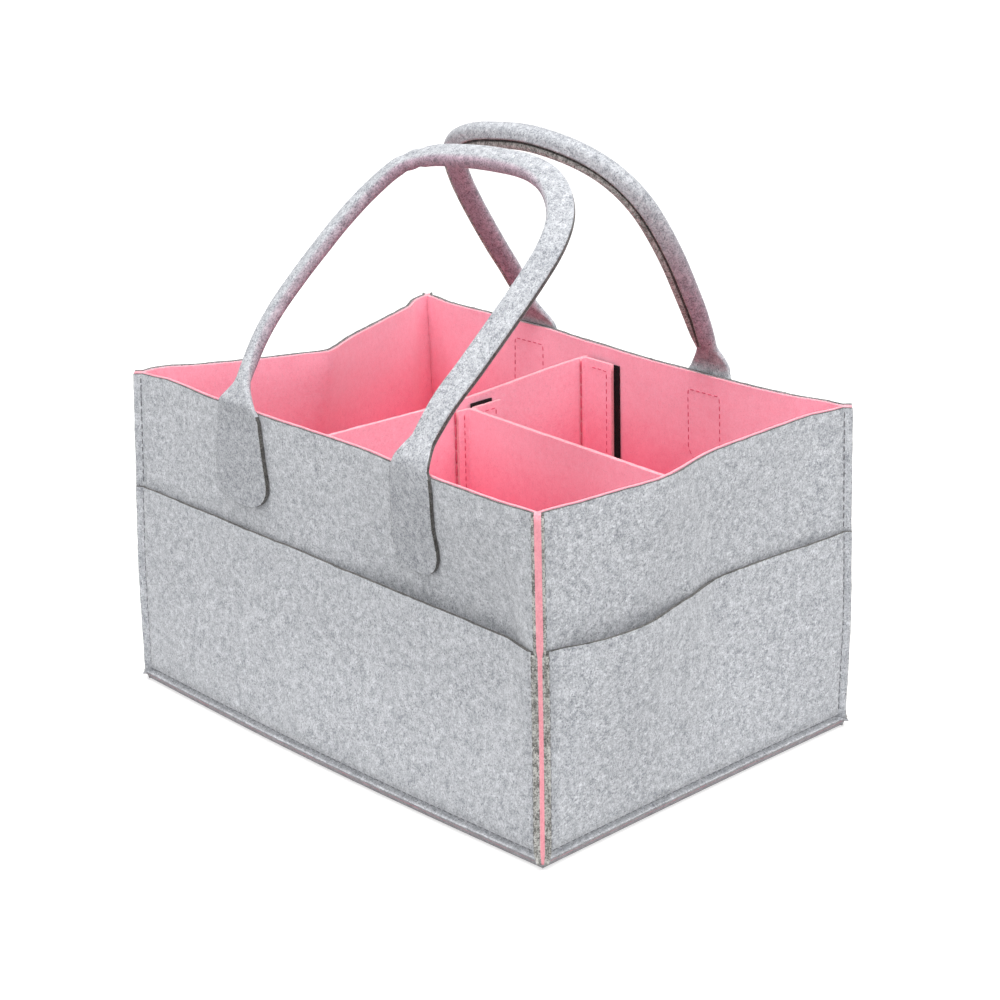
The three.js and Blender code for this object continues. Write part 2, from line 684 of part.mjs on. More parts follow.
const shells = {};
for (const side of Object.keys(walls)) shells[side] = makeWallPieces(side);
makeFloor();
makeTab("front_left_handle_tab", walls.front, shells.front, frontTabs.left, frontFoldY);
makeTab("front_right_handle_tab", walls.front, shells.front, frontTabs.right, frontFoldY);
makeTab("back_left_handle_tab", walls.back, shells.back, backTabs.left, backFoldY);
makeTab("back_right_handle_tab", walls.back, shells.back, backTabs.right, backFoldY);
makeLoop("front_handle_loop", frontLoop, frontLoopShares, frontTwistShares, frontTabs);
makeLoop("back_handle_loop", backLoop, backLoopShares, backTwistShares, backTabs);
makeCrossDivider();
makeLongDivider();

export default caddy;
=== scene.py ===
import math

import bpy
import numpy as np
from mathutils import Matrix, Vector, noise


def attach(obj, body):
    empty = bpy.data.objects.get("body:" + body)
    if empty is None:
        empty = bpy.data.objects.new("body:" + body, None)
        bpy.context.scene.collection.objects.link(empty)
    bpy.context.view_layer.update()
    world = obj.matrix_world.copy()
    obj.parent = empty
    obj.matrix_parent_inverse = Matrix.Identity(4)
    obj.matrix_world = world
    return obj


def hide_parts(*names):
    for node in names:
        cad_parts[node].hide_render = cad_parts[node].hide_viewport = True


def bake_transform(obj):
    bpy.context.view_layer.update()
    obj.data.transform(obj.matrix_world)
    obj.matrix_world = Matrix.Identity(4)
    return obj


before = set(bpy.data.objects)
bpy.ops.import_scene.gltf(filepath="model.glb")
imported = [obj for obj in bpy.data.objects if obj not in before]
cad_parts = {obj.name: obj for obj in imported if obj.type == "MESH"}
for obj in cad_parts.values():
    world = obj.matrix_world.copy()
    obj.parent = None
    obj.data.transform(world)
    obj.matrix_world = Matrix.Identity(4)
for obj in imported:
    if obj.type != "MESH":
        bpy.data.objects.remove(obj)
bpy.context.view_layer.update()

# A felt caddy with a pink lining: sewn walls with outside pockets, two folded felt
# handles, and two loose dividers held by hook tape. Lengths are in millimetres here
# and become metres as each mesh is made. The walls go round anticlockwise from the
# front, as seen from above, and a wall's shares run from its first corner to its second.

MM = 0.001

# Overall sizes, felt and tape thicknesses, and the gap between pieces
LENGTH, WIDTH, RIM = 330.0, 230.0, 180.0
LINING, SHELL, POCKET, TAB, PANEL, FLAP, TAPE = 1.4, 1.4, 1.8, 2.2, 2.6, 2.2, 1.0
GAP = 0.3

# How far the corner seams and the foot seam stand out, how far from a corner seam a wall
# takes to reach its own form, and how far from the foot seam the floor takes to lie flat
FIN, FIN_DROP, CORNER_RUN, FLOOR_SLOPE = 4.2, 2.2, 26.0, 2.8

# The depths that the walls' shares follow: a gentle wave, and the left wall's deep fold.
# A wall takes its waist's form between the foot and FULL, and its rim's above WAIST.
WAVE, FOLD, WAIST, FULL, FOLD_FULL = 10.0, 50.0, 112.0, 65.0, 112.0

LINING_NEAR = GAP / 2
LINING_FAR = LINING_NEAR + LINING
SHELL_NEAR = LINING_FAR + GAP
SHELL_FAR = SHELL_NEAR + SHELL
POCKET_NEAR = SHELL_FAR + GAP
POCKET_FAR = POCKET_NEAR + POCKET

# Where the faces of the layers lie: in a panel, and pressed together in the corner seams
# above and below a pocket's top, and in the foot seam
OPEN = (LINING_NEAR, LINING_FAR, SHELL_NEAR, SHELL_FAR, POCKET_NEAR, POCKET_FAR)
CORNER_HIGH = (0.01, 1.68, 1.7, 3.1, 3.2, 4.6)
CORNER_LOW = (0.01, 1.08, 1.1, 2.55, 2.6, 4.3)
FOOT_PRESSED = (0.01, 0.3, 0.32, 1.1, 1.12, 2.3)
FLOOR_LEVEL = SHELL_FAR
FOOT_TIP = SHELL_FAR * math.hypot(FIN, FIN_DROP) * FIN / (FIN * FIN + FIN_DROP * FIN_DROP / 2)
CREST = FOOT_TIP + FIN_DROP

# Each corner: side, lean at the rim, pocket height, and how far its foot is pushed out
CORNERS = {
    "fl": dict(side=(-1, -1), lean=(2.1, 6.9), pocket=115.0, foot=(5.8, -1.5)),
    "fr": dict(side=(1, -1), lean=(-0.5, 0.1), pocket=110.0, foot=(4.2, -4.5)),
    "br": dict(side=(1, 1), lean=(-2.6, -1.6), pocket=112.0, foot=(0.2, -4.0)),
    "bl": dict(side=(-1, 1), lean=(-3.0, -2.5), pocket=113.0, foot=(0.5, 0.0)),
}

# The height up to which a corner and a wall are pushed out at the foot
FOOT_FADE = 75.0

WALLS = {
    "front": dict(
        ends=("fl", "fr"), depth=WAVE, full=FULL, bulge=3.8, seed=3.1, shell_drop=0.35,
        rim=[(0, .6), (.05, .74), (.13, .62), (.2, .48), (.33, .47), (.45, .59), (.54, .72),
             (.61, .66), (.67, .47), (.77, .3), (.89, .24), (1, .3)],
        waist=[(0, .56), (.05, .58), (.2, .64), (.35, .7), (.5, .77), (.55, .92), (.6, 1.12),
               (.69, 1.2), (.8, 1.25), (.9, 1.25), (.96, 1.05), (1, .9)],
        pocket=[(0, .46), (.25, .56), (.5, .67), (.75, .77), (1, .84)],
    ),
    "right": dict(
        ends=("fr", "br"), depth=WAVE, full=FULL, bulge=-1.0, seed=17.3, shell_drop=0.35,
        rim=[(0, .3), (.04, .2), (.13, .09), (.23, -.09), (.33, -.35), (.37, -.27), (.41, -.09),
             (.46, .19), (.54, .58), (.68, .72), (.78, .79), (.91, .84), (1, .7)],
        waist=[(0, .55), (.05, .45), (.12, .24), (.17, .13), (.23, .09), (.3, .1), (.38, .24),
               (.45, .42), (.49, .61), (.55, 1.02), (.63, 1.06), (.7, .99), (.76, .91),
               (.86, .8), (1, .6)],
        pocket=[(0, .5), (.05, .2), (.12, -.22), (.17, -.43), (.23, -.55), (.3, -.46),
                (.38, -.04), (.45, .3), (.55, .95), (.63, .98), (.7, .9), (.76, .78),
                (.86, .55), (1, .35)],
    ),
    "back": dict(
        ends=("br", "bl"), depth=WAVE, full=FULL, bulge=0.8, seed=31.7, shell_drop=-0.45,
        rim=[(0, .57), (.04, .62), (.1, .92), (.2, 1.19), (.38, 1.2), (.47, 1.12), (.52, 1),
             (.56, .93), (.6, .8), (.66, .62), (.8, .68), (.95, .75), (1, .62)],
        waist=[(0, .95), (.1, 1.15), (.2, 1.23), (.4, 1.23), (.47, 1.12), (.53, .98),
               (.65, .87), (.8, .86), (1, .82)],
        pocket=[(0, .78), (.5, .77), (1, .74)],
    ),
    "left": dict(
        ends=("bl", "fl"), depth=FOLD, full=FOLD_FULL, bulge=0.5, seed=47.9, shell_drop=-0.45,
        rim=[(0, .1), (.07, .22), (.2, .42), (.31, .59), (.42, .77), (.5, .94), (.548, 1.01),
             (.6, .91), (.68, .75), (.76, .58), (.835, .39), (.9, .22), (.95, .12), (1, .1)],
        waist=[(0, .09), (.07, .18), (.2, .34), (.31, .48), (.42, .61), (.5, .72), (.548, .76),
               (.6, .71), (.68, .59), (.76, .46), (.835, .32), (.9, .19), (.95, .11), (1, .09)],
        pocket=[(0, .4), (.15, .25), (.35, .1), (.5, -.05), (.63, -.25), (.77, -.55),
                (.87, -.3), (.95, .15), (1, .4)],
    ),
}


def ease(t):
    s = np.clip(t, 0.0, 1.0)
    return s * s * (3 - 2 * s)


def mix(a, b, t):
    return a + (b - a) * t


TINY = 1e-12


def unit(v):
    """Vectors scaled to a length of one."""
    return v / np.maximum(np.linalg.norm(v, axis=-1, keepdims=True), TINY)


def run_along(points, power=1.0):
    """How far along a line of points each of them lies, with a power of each step."""
    steps = np.linalg.norm(np.diff(points, axis=0), axis=1) ** power
    return np.concatenate([[0], np.cumsum(steps)])


def through(table, place):
    """A smooth curve through (place, value) pairs."""
    xs, ys = np.array([p[0] for p in table], float), np.array([p[1] for p in table], float)
    n = len(xs)
    before, after = np.maximum(np.arange(n) - 1, 0), np.minimum(np.arange(n) + 1, n - 1)
    slope = (ys[after] - ys[before]) / (xs[after] - xs[before])
    place = np.asarray(place, float)
    i = np.clip(np.searchsorted(xs, place, side="left") - 1, 0, n - 2)
    run = xs[i + 1] - xs[i]
    t = np.clip((place - xs[i]) / run, 0, 1)
    bend0 = slope[i] * run * t * (1 - t) ** 2
    bend1 = slope[i + 1] * run * t * t * (1 - t)
    return mix(ys[i], ys[i + 1], ease(t)) + bend0 - bend1


def ripple(points, scale, seed):
    """Smooth noise from -1 to 1 at each of some points, given in mm."""
    flat = np.asarray(points, float).reshape(-1, 3) / scale + seed
    values = [noise.noise(Vector(p)) for p in flat]
    return np.array(values).reshape(np.asarray(points).shape[:-1])


def waves(points, table, seed):
    """Noise from a table of (depth, length of a wave, shift of the seed)."""
    return sum(depth * ripple(points, length, seed + shift) for depth, length, shift in table)


# Mesh making

def add_mesh(name, points, faces, materials, kinds=None, sharp=(), attributes=None):
    """A smooth-shaded mesh from points in mm, with a material index for each face."""
    mesh = bpy.data.meshes.new(name)
    mesh.from_pydata((np.asarray(points, float) * MM).tolist(), [], [tuple(map(int, f)) for f in faces])
    for material in materials:
        mesh.materials.append(material)
    mesh.polygons.foreach_set("use_smooth", [True] * len(mesh.polygons))
    if kinds is not None:
        mesh.polygons.foreach_set("material_index", np.asarray(kinds, np.int32))
    if len(sharp):
        wanted = {(min(a, b), max(a, b)) for a, b in sharp}
        for e in mesh.edges:
            a, b = e.vertices
            if (min(a, b), max(a, b)) in wanted:
                e.use_edge_sharp = True
    for key, values in (attributes or {}).items():
        layer = mesh.attributes.new(key, "FLOAT", "POINT")
        layer.data.foreach_set("value", np.asarray(values, np.float32))
    mesh.validate()
    mesh.update()
    piece = bpy.data.objects.new(name, mesh)
    bpy.context.scene.collection.objects.link(piece)
    return piece


def dress(piece, slot, *nodes):
    """Hides the CAD nodes that a piece stands in for, if it has any; its slot is not used."""
    if nodes:
        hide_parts(*nodes)
    return piece


def grid_quads(columns, rows, closed=False):
    i, j = np.meshgrid(np.arange(columns if closed else columns - 1), np.arange(rows - 1), indexing="ij")
    a = (i * rows + j).ravel()
    b = (((i + 1) % columns) * rows + j).ravel()
    return np.stack([a, b, b + 1, a + 1], 1)


# Keeps the sum of the faces' directions solvable where they lie in one plane
FLAT_GUARD = 1e-4


def mitres(points, quads):
    """For each point, the step that moves all the faces round it outwards by one."""
    p = points[quads]
    normal = unit(np.cross(p[:, 2] - p[:, 0], p[:, 3] - p[:, 1]))
    total, outer = np.zeros((len(points), 3)), np.zeros((len(points), 3, 3))
    square = normal[:, :, None] * normal[:, None, :]
    for k in range(4):
        np.add.at(total, quads[:, k], normal)
        np.add.at(outer, quads[:, k], square)
    return np.linalg.solve(outer + np.eye(3) * FLAT_GUARD, total[:, :, None])[:, :, 0]


def rim_loop(columns, rows):
    """The indices round the open border of a grid, in the order that keeps faces out."""
    bottom = [i * rows for i in range(columns)]
    right = [(columns - 1) * rows + j for j in range(1, rows)]
    top = [i * rows + rows - 1 for i in range(columns - 2, -1, -1)]
    left = [j for j in range(rows - 2, 0, -1)]
    return bottom + right + top + left


# How far a cut edge bulges, as a share of its width, and the width that it grows with
CUT_ROUND_SHARE, CUT_ROUND_WIDTH = 0.22, 1.6


def closed_sheet(name, inner, outer, materials, cuts=(1, 1, 1), rounding=(1, 1, 1)):
    """A felt sheet between two grids of points, its cut edges a little rounded.

    cuts are the materials of its foot, side and top edges, and rounding says how much
    each of them is rounded.
    """
    columns, rows = inner.shape[:2]
    count = columns * rows
    a, b = inner.reshape(-1, 3), outer.reshape(-1, 3)
    quads = grid_quads(columns, rows)
    loop = np.array(rim_loop(columns, rows))
    n = len(loop)
    middle = (a[loop] + b[loop]) / 2
    thick = b[loop] - a[loop]
    out = unit(np.cross(np.roll(middle, -1, 0) - np.roll(middle, 1, 0), thick))
    width = np.linalg.norm(thick, axis=1, keepdims=True)
    column, row = loop // rows, loop % rows
    edge = np.where((column == 0) | (column == columns - 1), 1, np.where(row == 0, 0, 2))
    round_by = CUT_ROUND_SHARE * np.array(rounding, float)[edge][:, None]
    ring = middle + out * round_by * np.minimum(width, CUT_ROUND_WIDTH)
    points = np.vstack([a, b, ring])
    place = np.arange(n)
    nxt = np.roll(place, -1)
    low = np.stack([loop, loop[nxt], 2 * count + nxt, 2 * count + place], 1)
    high = np.stack([2 * count + place, 2 * count + nxt, loop[nxt] + count, loop + count], 1)
    faces = np.vstack([quads + count, quads[:, ::-1], low, high])
    between = np.where((edge == 1) & (row == row[nxt]), edge[nxt], edge)
    cut = np.array(cuts)[between].tolist()
    kinds = [0] * (2 * len(quads)) + cut + cut
    sharp = [(loop[k] + side, loop[nxt[k]] + side) for side in (0, count) for k in range(n)]
    return add_mesh(name, points, faces, materials, kinds, sharp)


# Materials

class Tree:
    """A short way to write a node tree."""

    def __init__(self, tree):
        self.tree = tree

    def node(self, kind, inputs=None, **settings):
        n = self.tree.nodes.new(kind)
        for key, value in settings.items():
            setattr(n, key, value)
        self.feed(n, inputs or {})
        return n

    def feed(self, n, inputs):
        for key, value in inputs.items():
            if isinstance(value, bpy.types.NodeSocket):
                self.tree.links.new(value, n.inputs[key])
            else:
                n.inputs[key].default_value = value

    def math(self, operation, a, b):
        return self.node("ShaderNodeMath", {0: a, 1: b}, operation=operation).outputs[0]

    def each(self, operation, values):
        """One value from many, by an operation on the first two, then on each of the rest."""
        total = values[0]
        for value in values[1:]:
            total = self.math(operation, total, value)
        return total

    def sum_of(self, *pairs):
        """The sum of some values, each with its weight."""
        return self.each("ADD", [self.math("MULTIPLY", value, weight) for value, weight in pairs])

    def blend(self, factor, a, b, kind="MIX"):
        sockets = {0: factor, 6: a, 7: b}
        return self.node("ShaderNodeMix", sockets, data_type="RGBA", blend_type=kind).outputs[2]

    def noise(self, where, scale, detail, rough):
        sockets = {"Vector": where, "Scale": scale, "Detail": detail, "Roughness": rough}
        return self.node("ShaderNodeTexNoise", sockets).outputs["Fac"]

    def span(self, value, low, high, to_low=0.0, to_high=1.0):
        sockets = {"Value": value, "From Min": low, "From Max": high, "To Min": to_low, "To Max": to_high}
        return self.node("ShaderNodeMapRange", sockets).outputs["Result"]

    def turned(self, where, rotation, scale):
        sockets = {"Vector": where, "Rotation": rotation, "Scale": scale}
        return self.node("ShaderNodeMapping", sockets).outputs["Vector"]

    def bump(self, height, strength, distance):
        sockets = {"Strength": strength, "Distance": distance, "Height": height}
        return self.node("ShaderNodeBump", sockets).outputs["Normal"]


def linear(r, g, b):
    """A colour written as it looks on a screen, from 0 to 255, as light."""
    def one(c):
        c /= 255
        return c / 12.92 if c <= 0.04045 else ((c + 0.055) / 1.055) ** 2.4
    return (one(r), one(g), one(b), 1.0)


def dimmed(colour, share):
    return tuple(c * share for c in colour[:3]) + (1.0,)


def new_material(name):
    """A material with its shader, a tree to write in, and the place on the object."""
    material = bpy.data.materials.new(name)
    material.use_nodes = True
    t = Tree(material.node_tree)
    where = t.node("ShaderNodeTexCoord").outputs["Object"]
    return material, material.node_tree.nodes["Principled BSDF"], t, where


# Noises as (scale, detail, roughness), in turns to the metre
BLOTCH, CLUMP, HEATHER = (70.0, 3.0, 0.6), (260.0, 4.0, 0.65), (950.0, 3.0, 0.7)
GRAIN, SPECK, STRAND = (2300.0, 2.0, 0.6), (1250.0, 2.0, 0.6), (1.0, 2.0, 0.5)
PLY, DUST, WEAVE_SCALE = (3000.0, 2.0, 0.5), (500.0, 4.0, 0.7), 900.0

# Fibres: noise stretched along four ways, and the heather's mass of them
STRAND_SCALE = (2600.0, 330.0, 520.0)
FIBRE_TURNS = ((0.4, 0.2, 0.5), (1.2, 0.9, 2.1), (2.2, 0.5, 1.2), (0.8, 1.9, 0.3))
CLUMP_SHARE, HEATHER_SHARE, MASS_SPREAD = 0.45, 0.55, 0.26

# Where each noise begins to show and shows fully, and how much of it or how dim it is
BLOTCH_SPAN, BLOTCH_SHARE = (0.3, 0.7), 0.35
HAIR_SPAN, DARK_HAIR_SPAN, DARK_HAIR_SHARE, DARK_HAIR_DIM_SHARE = (0.63, 0.78), (0.38, 0.26), 0.7, 0.62
SPECK_SPAN, SPECK_DIM_SHARE = (0.57, 0.68), 0.4
# The heights, in metres, where the painted shade low in the caddy begins and where it is full
DEEP_SHADE_SPAN = (0.152, 0.11)
FELT_DEPTH, THREAD_DEPTH, HOOK_DEPTH = 0.0006, 0.0002, 0.0005
MASS_HEIGHT, GRAIN_HEIGHT, FIBRE_HEIGHT = 0.6, 0.35, 0.5


def felt(name, base, light, dark, hair, contrast, specks, hairs, bump, sheen=0.25, bounce_shade=None,
         deep=None):
    """Pressed wool felt: a heathered mass of fibres, with stray light and dark ones.

    Where a piece's attribute asks, a pinkish colour is multiplied in as painted pink reflection and shade,
    and low down in the caddy a deeper pink as painted shade.
    """
    material, shader, t, where = new_material(name)
    clump, heather = t.noise(where, *CLUMP), t.noise(where, *HEATHER)
    strands = [t.noise(t.turned(where, turn, STRAND_SCALE), *STRAND) for turn in FIBRE_TURNS]
    many, few = t.each("MAXIMUM", strands), t.each("MINIMUM", strands)
    mass = t.sum_of((clump, CLUMP_SHARE), (heather, HEATHER_SHARE))
    spread = MASS_SPREAD / contrast
    colour = t.blend(t.span(mass, 0.5 - spread, 0.5 + spread), dark, light)
    for value, span, amount, other in (
        (t.noise(where, *BLOTCH), BLOTCH_SPAN, BLOTCH_SHARE, base),
        (many, HAIR_SPAN, hairs, hair),
        (t.noise(where, *SPECK), SPECK_SPAN, specks, dimmed(dark, SPECK_DIM_SHARE)),
        (few, DARK_HAIR_SPAN, hairs * DARK_HAIR_SHARE, dimmed(dark, DARK_HAIR_DIM_SHARE)),
    ):
        colour = t.blend(t.span(value, *span, 0.0, amount), colour, other)
    # Painted pink reflection and shade: a pinkish colour multiplied in where a piece's attribute asks, on
    # a handle's underside and inside
    if bounce_shade is not None:
        amount = t.node("ShaderNodeAttribute", attribute_name="bounce_shade").outputs["Fac"]
        colour = t.blend(amount, colour, bounce_shade, "MULTIPLY")
    # Painted shade: a deeper pink multiplied in low down in the caddy
    if deep is not None:
        height = t.node("ShaderNodeSeparateXYZ", {"Vector": where}).outputs["Z"]
        colour = t.blend(t.span(height, *DEEP_SHADE_SPAN), colour, deep, "MULTIPLY")
    raised = t.sum_of((mass, MASS_HEIGHT), (t.noise(where, *GRAIN), GRAIN_HEIGHT), (many, FIBRE_HEIGHT))
    t.feed(shader, {
        "Base Color": colour, "Normal": t.bump(raised, bump, FELT_DEPTH), "Roughness": 0.95,
        "Specular IOR Level": 0.12, "Sheen Weight": sheen, "Sheen Roughness": 0.6,
    })
    return material


def thread(name, colour):
    material, shader, t, where = new_material(name)
    ply = t.noise(where, *PLY)
    shade = t.blend(t.span(ply, 0.35, 0.65), dimmed(colour, 0.8), colour)
    t.feed(shader, {"Base Color": shade, "Roughness": 0.75, "Normal": t.bump(ply, 0.4, THREAD_DEPTH)})
    return material


def hook_material():
    material, shader, t, where = new_material("hook_tape")
    weave = t.node("ShaderNodeTexVoronoi", {"Vector": where, "Scale": WEAVE_SCALE}).outputs["Distance"]
    dusty = t.span(t.noise(where, *DUST), 0.4, 0.8, 0.0, 0.5)
    t.feed(shader, {
        "Base Color": t.blend(dusty, linear(13, 11, 13), linear(36, 31, 34)), "Roughness": 0.7,
        "Specular IOR Level": 0.2, "Normal": t.bump(weave, 0.8, HOOK_DEPTH),
    })
    return material


GREY = felt(
    "grey_felt", linear(182, 184, 188), linear(213, 215, 219), linear(127, 130, 137),
    linear(236, 238, 241), contrast=2.1, specks=0.66, hairs=0.6, bump=0.8,
)
GREY_CUT = felt(
    "grey_felt_cut", linear(146, 145, 141), linear(198, 197, 193), linear(84, 82, 78),
    linear(210, 210, 208), contrast=3.2, specks=0.9, hairs=0.45, bump=0.9,
)
# Cut felt painted near black, as shade: on the top edges of the shell and pockets, where gaps lie behind
# them, and on the handles' cut edges and in their slit
SHADED_CUT = felt(
    "grey_felt_cut_shaded", linear(60, 58, 55), linear(106, 104, 101), linear(30, 28, 26),
    linear(150, 148, 146), contrast=2.6, specks=0.8, hairs=0.35, bump=0.9,
)
# Cut felt at the foot, painted a darker mauve grey as the felt in shade there
SHADED_FOOT_CUT = felt(
    "grey_felt_cut_shaded_foot", linear(160, 158, 162), linear(188, 186, 190), linear(122, 119, 123),
    linear(200, 196, 198), contrast=1.8, specks=0.5, hairs=0.4, bump=0.8,
)
# The handles' felt: the wall's grey painted a little darker, as shade, to even out the extra light that
# the handles catch
HANDLE = felt(
    "handle_felt", linear(172, 174, 178), linear(202, 204, 208), linear(112, 115, 122),
    linear(226, 228, 231), contrast=2.0, specks=0.7, hairs=0.55, bump=0.8, sheen=0.1,
    bounce_shade=linear(238, 202, 214),
)
# The pink felt, painted a deeper pink low down in the caddy as shade
PINK = felt(
    "pink_felt", linear(254, 175, 194), linear(255, 187, 205), linear(247, 157, 179),
    linear(255, 214, 222), contrast=1.5, specks=0.16, hairs=0.25, bump=0.45, deep=linear(252, 189, 208),
)
PINK_CUT = felt(
    "pink_felt_cut", linear(231, 152, 163), linear(239, 166, 175), linear(214, 130, 143),
    linear(247, 194, 202), contrast=1.4, specks=0.12, hairs=0.3, bump=0.5,
)
GREY_THREAD = thread("grey_thread", linear(118, 118, 122))
PINK_THREAD = thread("pink_thread", linear(222, 96, 122))
HOOKS = hook_material()


# Walls

# The felt's own unevenness, and the frayed cut edges: depth, length of a wave, seed shift
UNEVEN = ((0.55, 42.0, 0), (0.22, 15.0, 5))
FRAY = ((1.0, 6.0, 0), (0.6, 2.3, 9))
FOOT_FRAY_SHARE, FOOT_LOWEST = 0.6, 0.05

# How far from a corner seam and from the foot seam the unevenness takes to reach its depth
CALM_SIDE, CALM_FOOT = 20.0, 18.0

# Places of the columns near a corner, where the rest begin, and the step between those
SIDE_COLUMNS, MIDDLE_FROM, COLUMN_STEP = (0.0, 1.4, 2.8, FIN, 7.2, 10.4, 13.8), 17.4, 3.6
WALL_ROWS, POCKET_ROWS = 45, 28

# Over what length a seam lets the layers go, how far above a pocket's top its felt is
# pressed, and how open a corner's layers stay at the foot
SEAM_FADE, POCKET_PRESS, CORNER_OPEN_SHARE = 4.0, 1.0, 0.6


def corner_place(key):
    """Where a corner stands in plan, before it leans."""
    side_x, side_y = CORNERS[key]["side"]
    return np.array([side_x * LENGTH / 2, side_y * WIDTH / 2, 0.0])


def corner_tip(key, height):
    lean_x, lean_y = CORNERS[key]["lean"]
    foot_x, foot_y = CORNERS[key]["foot"]
    place = corner_place(key)
    height = np.asarray(height, float)
    lean = np.maximum(0.0, (height - CREST) / (RIM - CREST))
    foot = 1 - ease(height / FOOT_FADE)
    x = place[0] + lean_x * lean + foot_x * foot
    y = place[1] + lean_y * lean + foot_y * foot
    return np.stack([x, y, height], -1)


class Wall:
    """One side of the caddy: its line in plan and the insets of its felt."""

    def __init__(self, name):
        self.__dict__.update(WALLS[name])
        a, b = (corner_place(k) for k in self.ends)
        self.span = float(np.linalg.norm(b - a))
        self.along = (b - a) / self.span
        self.out = np.array([self.along[1], -self.along[0], 0.0])
        self.tops = [CORNERS[k]["pocket"] for k in self.ends]

    def pocket_top(self, u):
        return mix(self.tops[0], self.tops[1], u / self.span)

    def pushed(self, u, z):
        """How far the foot of the wall is pushed out along its middle."""
        return self.bulge * np.sin(math.pi * u / self.span) * (1 - ease(z / FOOT_FADE))

    def settle(self, u, z, inset):
        """The inset near the corners, at the foot's fin, and the felt's own unevenness."""
        from_tip = np.minimum(u, self.span - u)
        near = np.where(from_tip < FIN, from_tip, mix(FIN, inset, ease((from_tip - FIN) / CORNER_RUN)))
        calm = ease((from_tip - FIN) / CALM_SIDE) * ease((z - CREST) / CALM_FOOT)
        uneven = waves(np.stack([u, z, np.zeros_like(u)], -1), UNEVEN, self.seed)
        return (near + calm * uneven) * np.clip((z - FOOT_TIP) / FIN_DROP, 0, 1) - self.pushed(u, z)

    def wall_inset(self, u, z):
        waist, rim = (through(table, u / self.span) * self.depth for table in (self.waist, self.rim))
        below = mix(FIN, waist, ease((z - CREST) / (self.full - CREST)))
        return self.settle(u, z, mix(below, rim, ease((z - WAIST) / (RIM - WAIST))))

    def pocket_inset(self, u, z):
        top = through(self.pocket, u / self.span) * WAVE
        climb = ease((z - CREST) / (self.pocket_top(u) - CREST))
        return self.settle(u, z, mix(FIN, top, climb))

    def point(self, u, z, inset):
        share = (u / self.span)[..., None]
        line = mix(corner_tip(self.ends[0], z), corner_tip(self.ends[1], z), share)
        return line - self.out * inset[..., None]

    def columns(self):
        count = int((self.span - 2 * MIDDLE_FROM) / COLUMN_STEP)
        middle = np.linspace(MIDDLE_FROM, self.span - MIDDLE_FROM, count)
        return np.array([*SIDE_COLUMNS, *middle, *(self.span - s for s in reversed(SIDE_COLUMNS))])


def wall_rows(top, count):
    """Heights from the foot's tip to the top edge, for each column's own top."""
    foot = FOOT_TIP + FIN_DROP * np.array([0.0, 0.5, 1.0])
    climb = np.linspace(0, 1, count)[1:]
    rows = [foot[None, :].repeat(len(top), 0), CREST + (top[:, None] - CREST) * climb[None, :]]
    return np.concatenate(rows, 1)


class Sheet:
    """Offsets of one wall surface, and where a stitch on it would lie."""

    def __init__(self, wall, pocket):
        self.wall = wall
        self.u = wall.columns()
        top = wall.pocket_top(self.u) if pocket else np.full_like(self.u, RIM)
        self.z = wall_rows(top, POCKET_ROWS if pocket else WALL_ROWS)
        self.uu = self.u[:, None].repeat(self.z.shape[1], 1)
        inset = (wall.pocket_inset if pocket else wall.wall_inset)(self.uu, self.z)
        self.base = wall.point(self.uu, self.z, inset)
        steps = mitres(self.base.reshape(-1, 3), grid_quads(*self.base.shape[:2]))
        self.steps = steps.reshape(self.base.shape)

    def layer(self, offset):
        """The surface at an offset, with the felt pressed thin along the seams."""
        from_tip = np.minimum(self.uu, self.wall.span - self.uu)
        below = 1 - ease((self.z - self.wall.pocket_top(self.uu) + POCKET_PRESS) / SEAM_FADE)
        corner = mix(np.interp(offset, OPEN, CORNER_HIGH), np.interp(offset, OPEN, CORNER_LOW), below)
        pressed = mix(corner, offset, ease((from_tip - FIN) / SEAM_FADE))
        open_corner = CORNER_OPEN_SHARE * (1 - ease(from_tip / FIN))
        kept = np.maximum(open_corner, ease((self.z - CREST) / SEAM_FADE))
        pressed = mix(np.interp(offset, OPEN, FOOT_PRESSED), pressed, kept)
        return self.base + self.steps * pressed[..., None]

    def at(self, u, z, offset):
        """A point of the layer at that offset, at a place along the wall and a height."""
        grid = self.layer(offset)
        i = int(np.clip(np.searchsorted(self.u, u) - 1, 0, len(self.u) - 2))
        t = (u - self.u[i]) / (self.u[i + 1] - self.u[i])
        ends = [np.array([np.interp(z, self.z[k], grid[k, :, a]) for a in range(3)]) for k in (i, i + 1)]
        return mix(*ends, t)


def fray(grid, amount, seed):
    """Makes the cut edges of a layer a little uneven, by moving its outermost points."""
    moved = grid.copy()
    wobble = amount * waves(grid, FRAY, seed)
    moved[:, -1, 2] += wobble[:, -1]
    for edge, inner in ((0, 1), (-1, -2)):
        moved[edge] += unit(grid[edge] - grid[inner]) * wobble[edge][:, None]
    moved[:, 0] += unit(grid[:, 0] - grid[:, 1]) * (wobble[:, 0] * FOOT_FRAY_SHARE)[:, None]
    moved[:, 0, 2] = np.maximum(moved[:, 0, 2], FOOT_LOWEST)
    return moved


def lowered(grid, drop):
    moved = grid.copy()
    moved[:, -1, 2] -= drop
    return moved
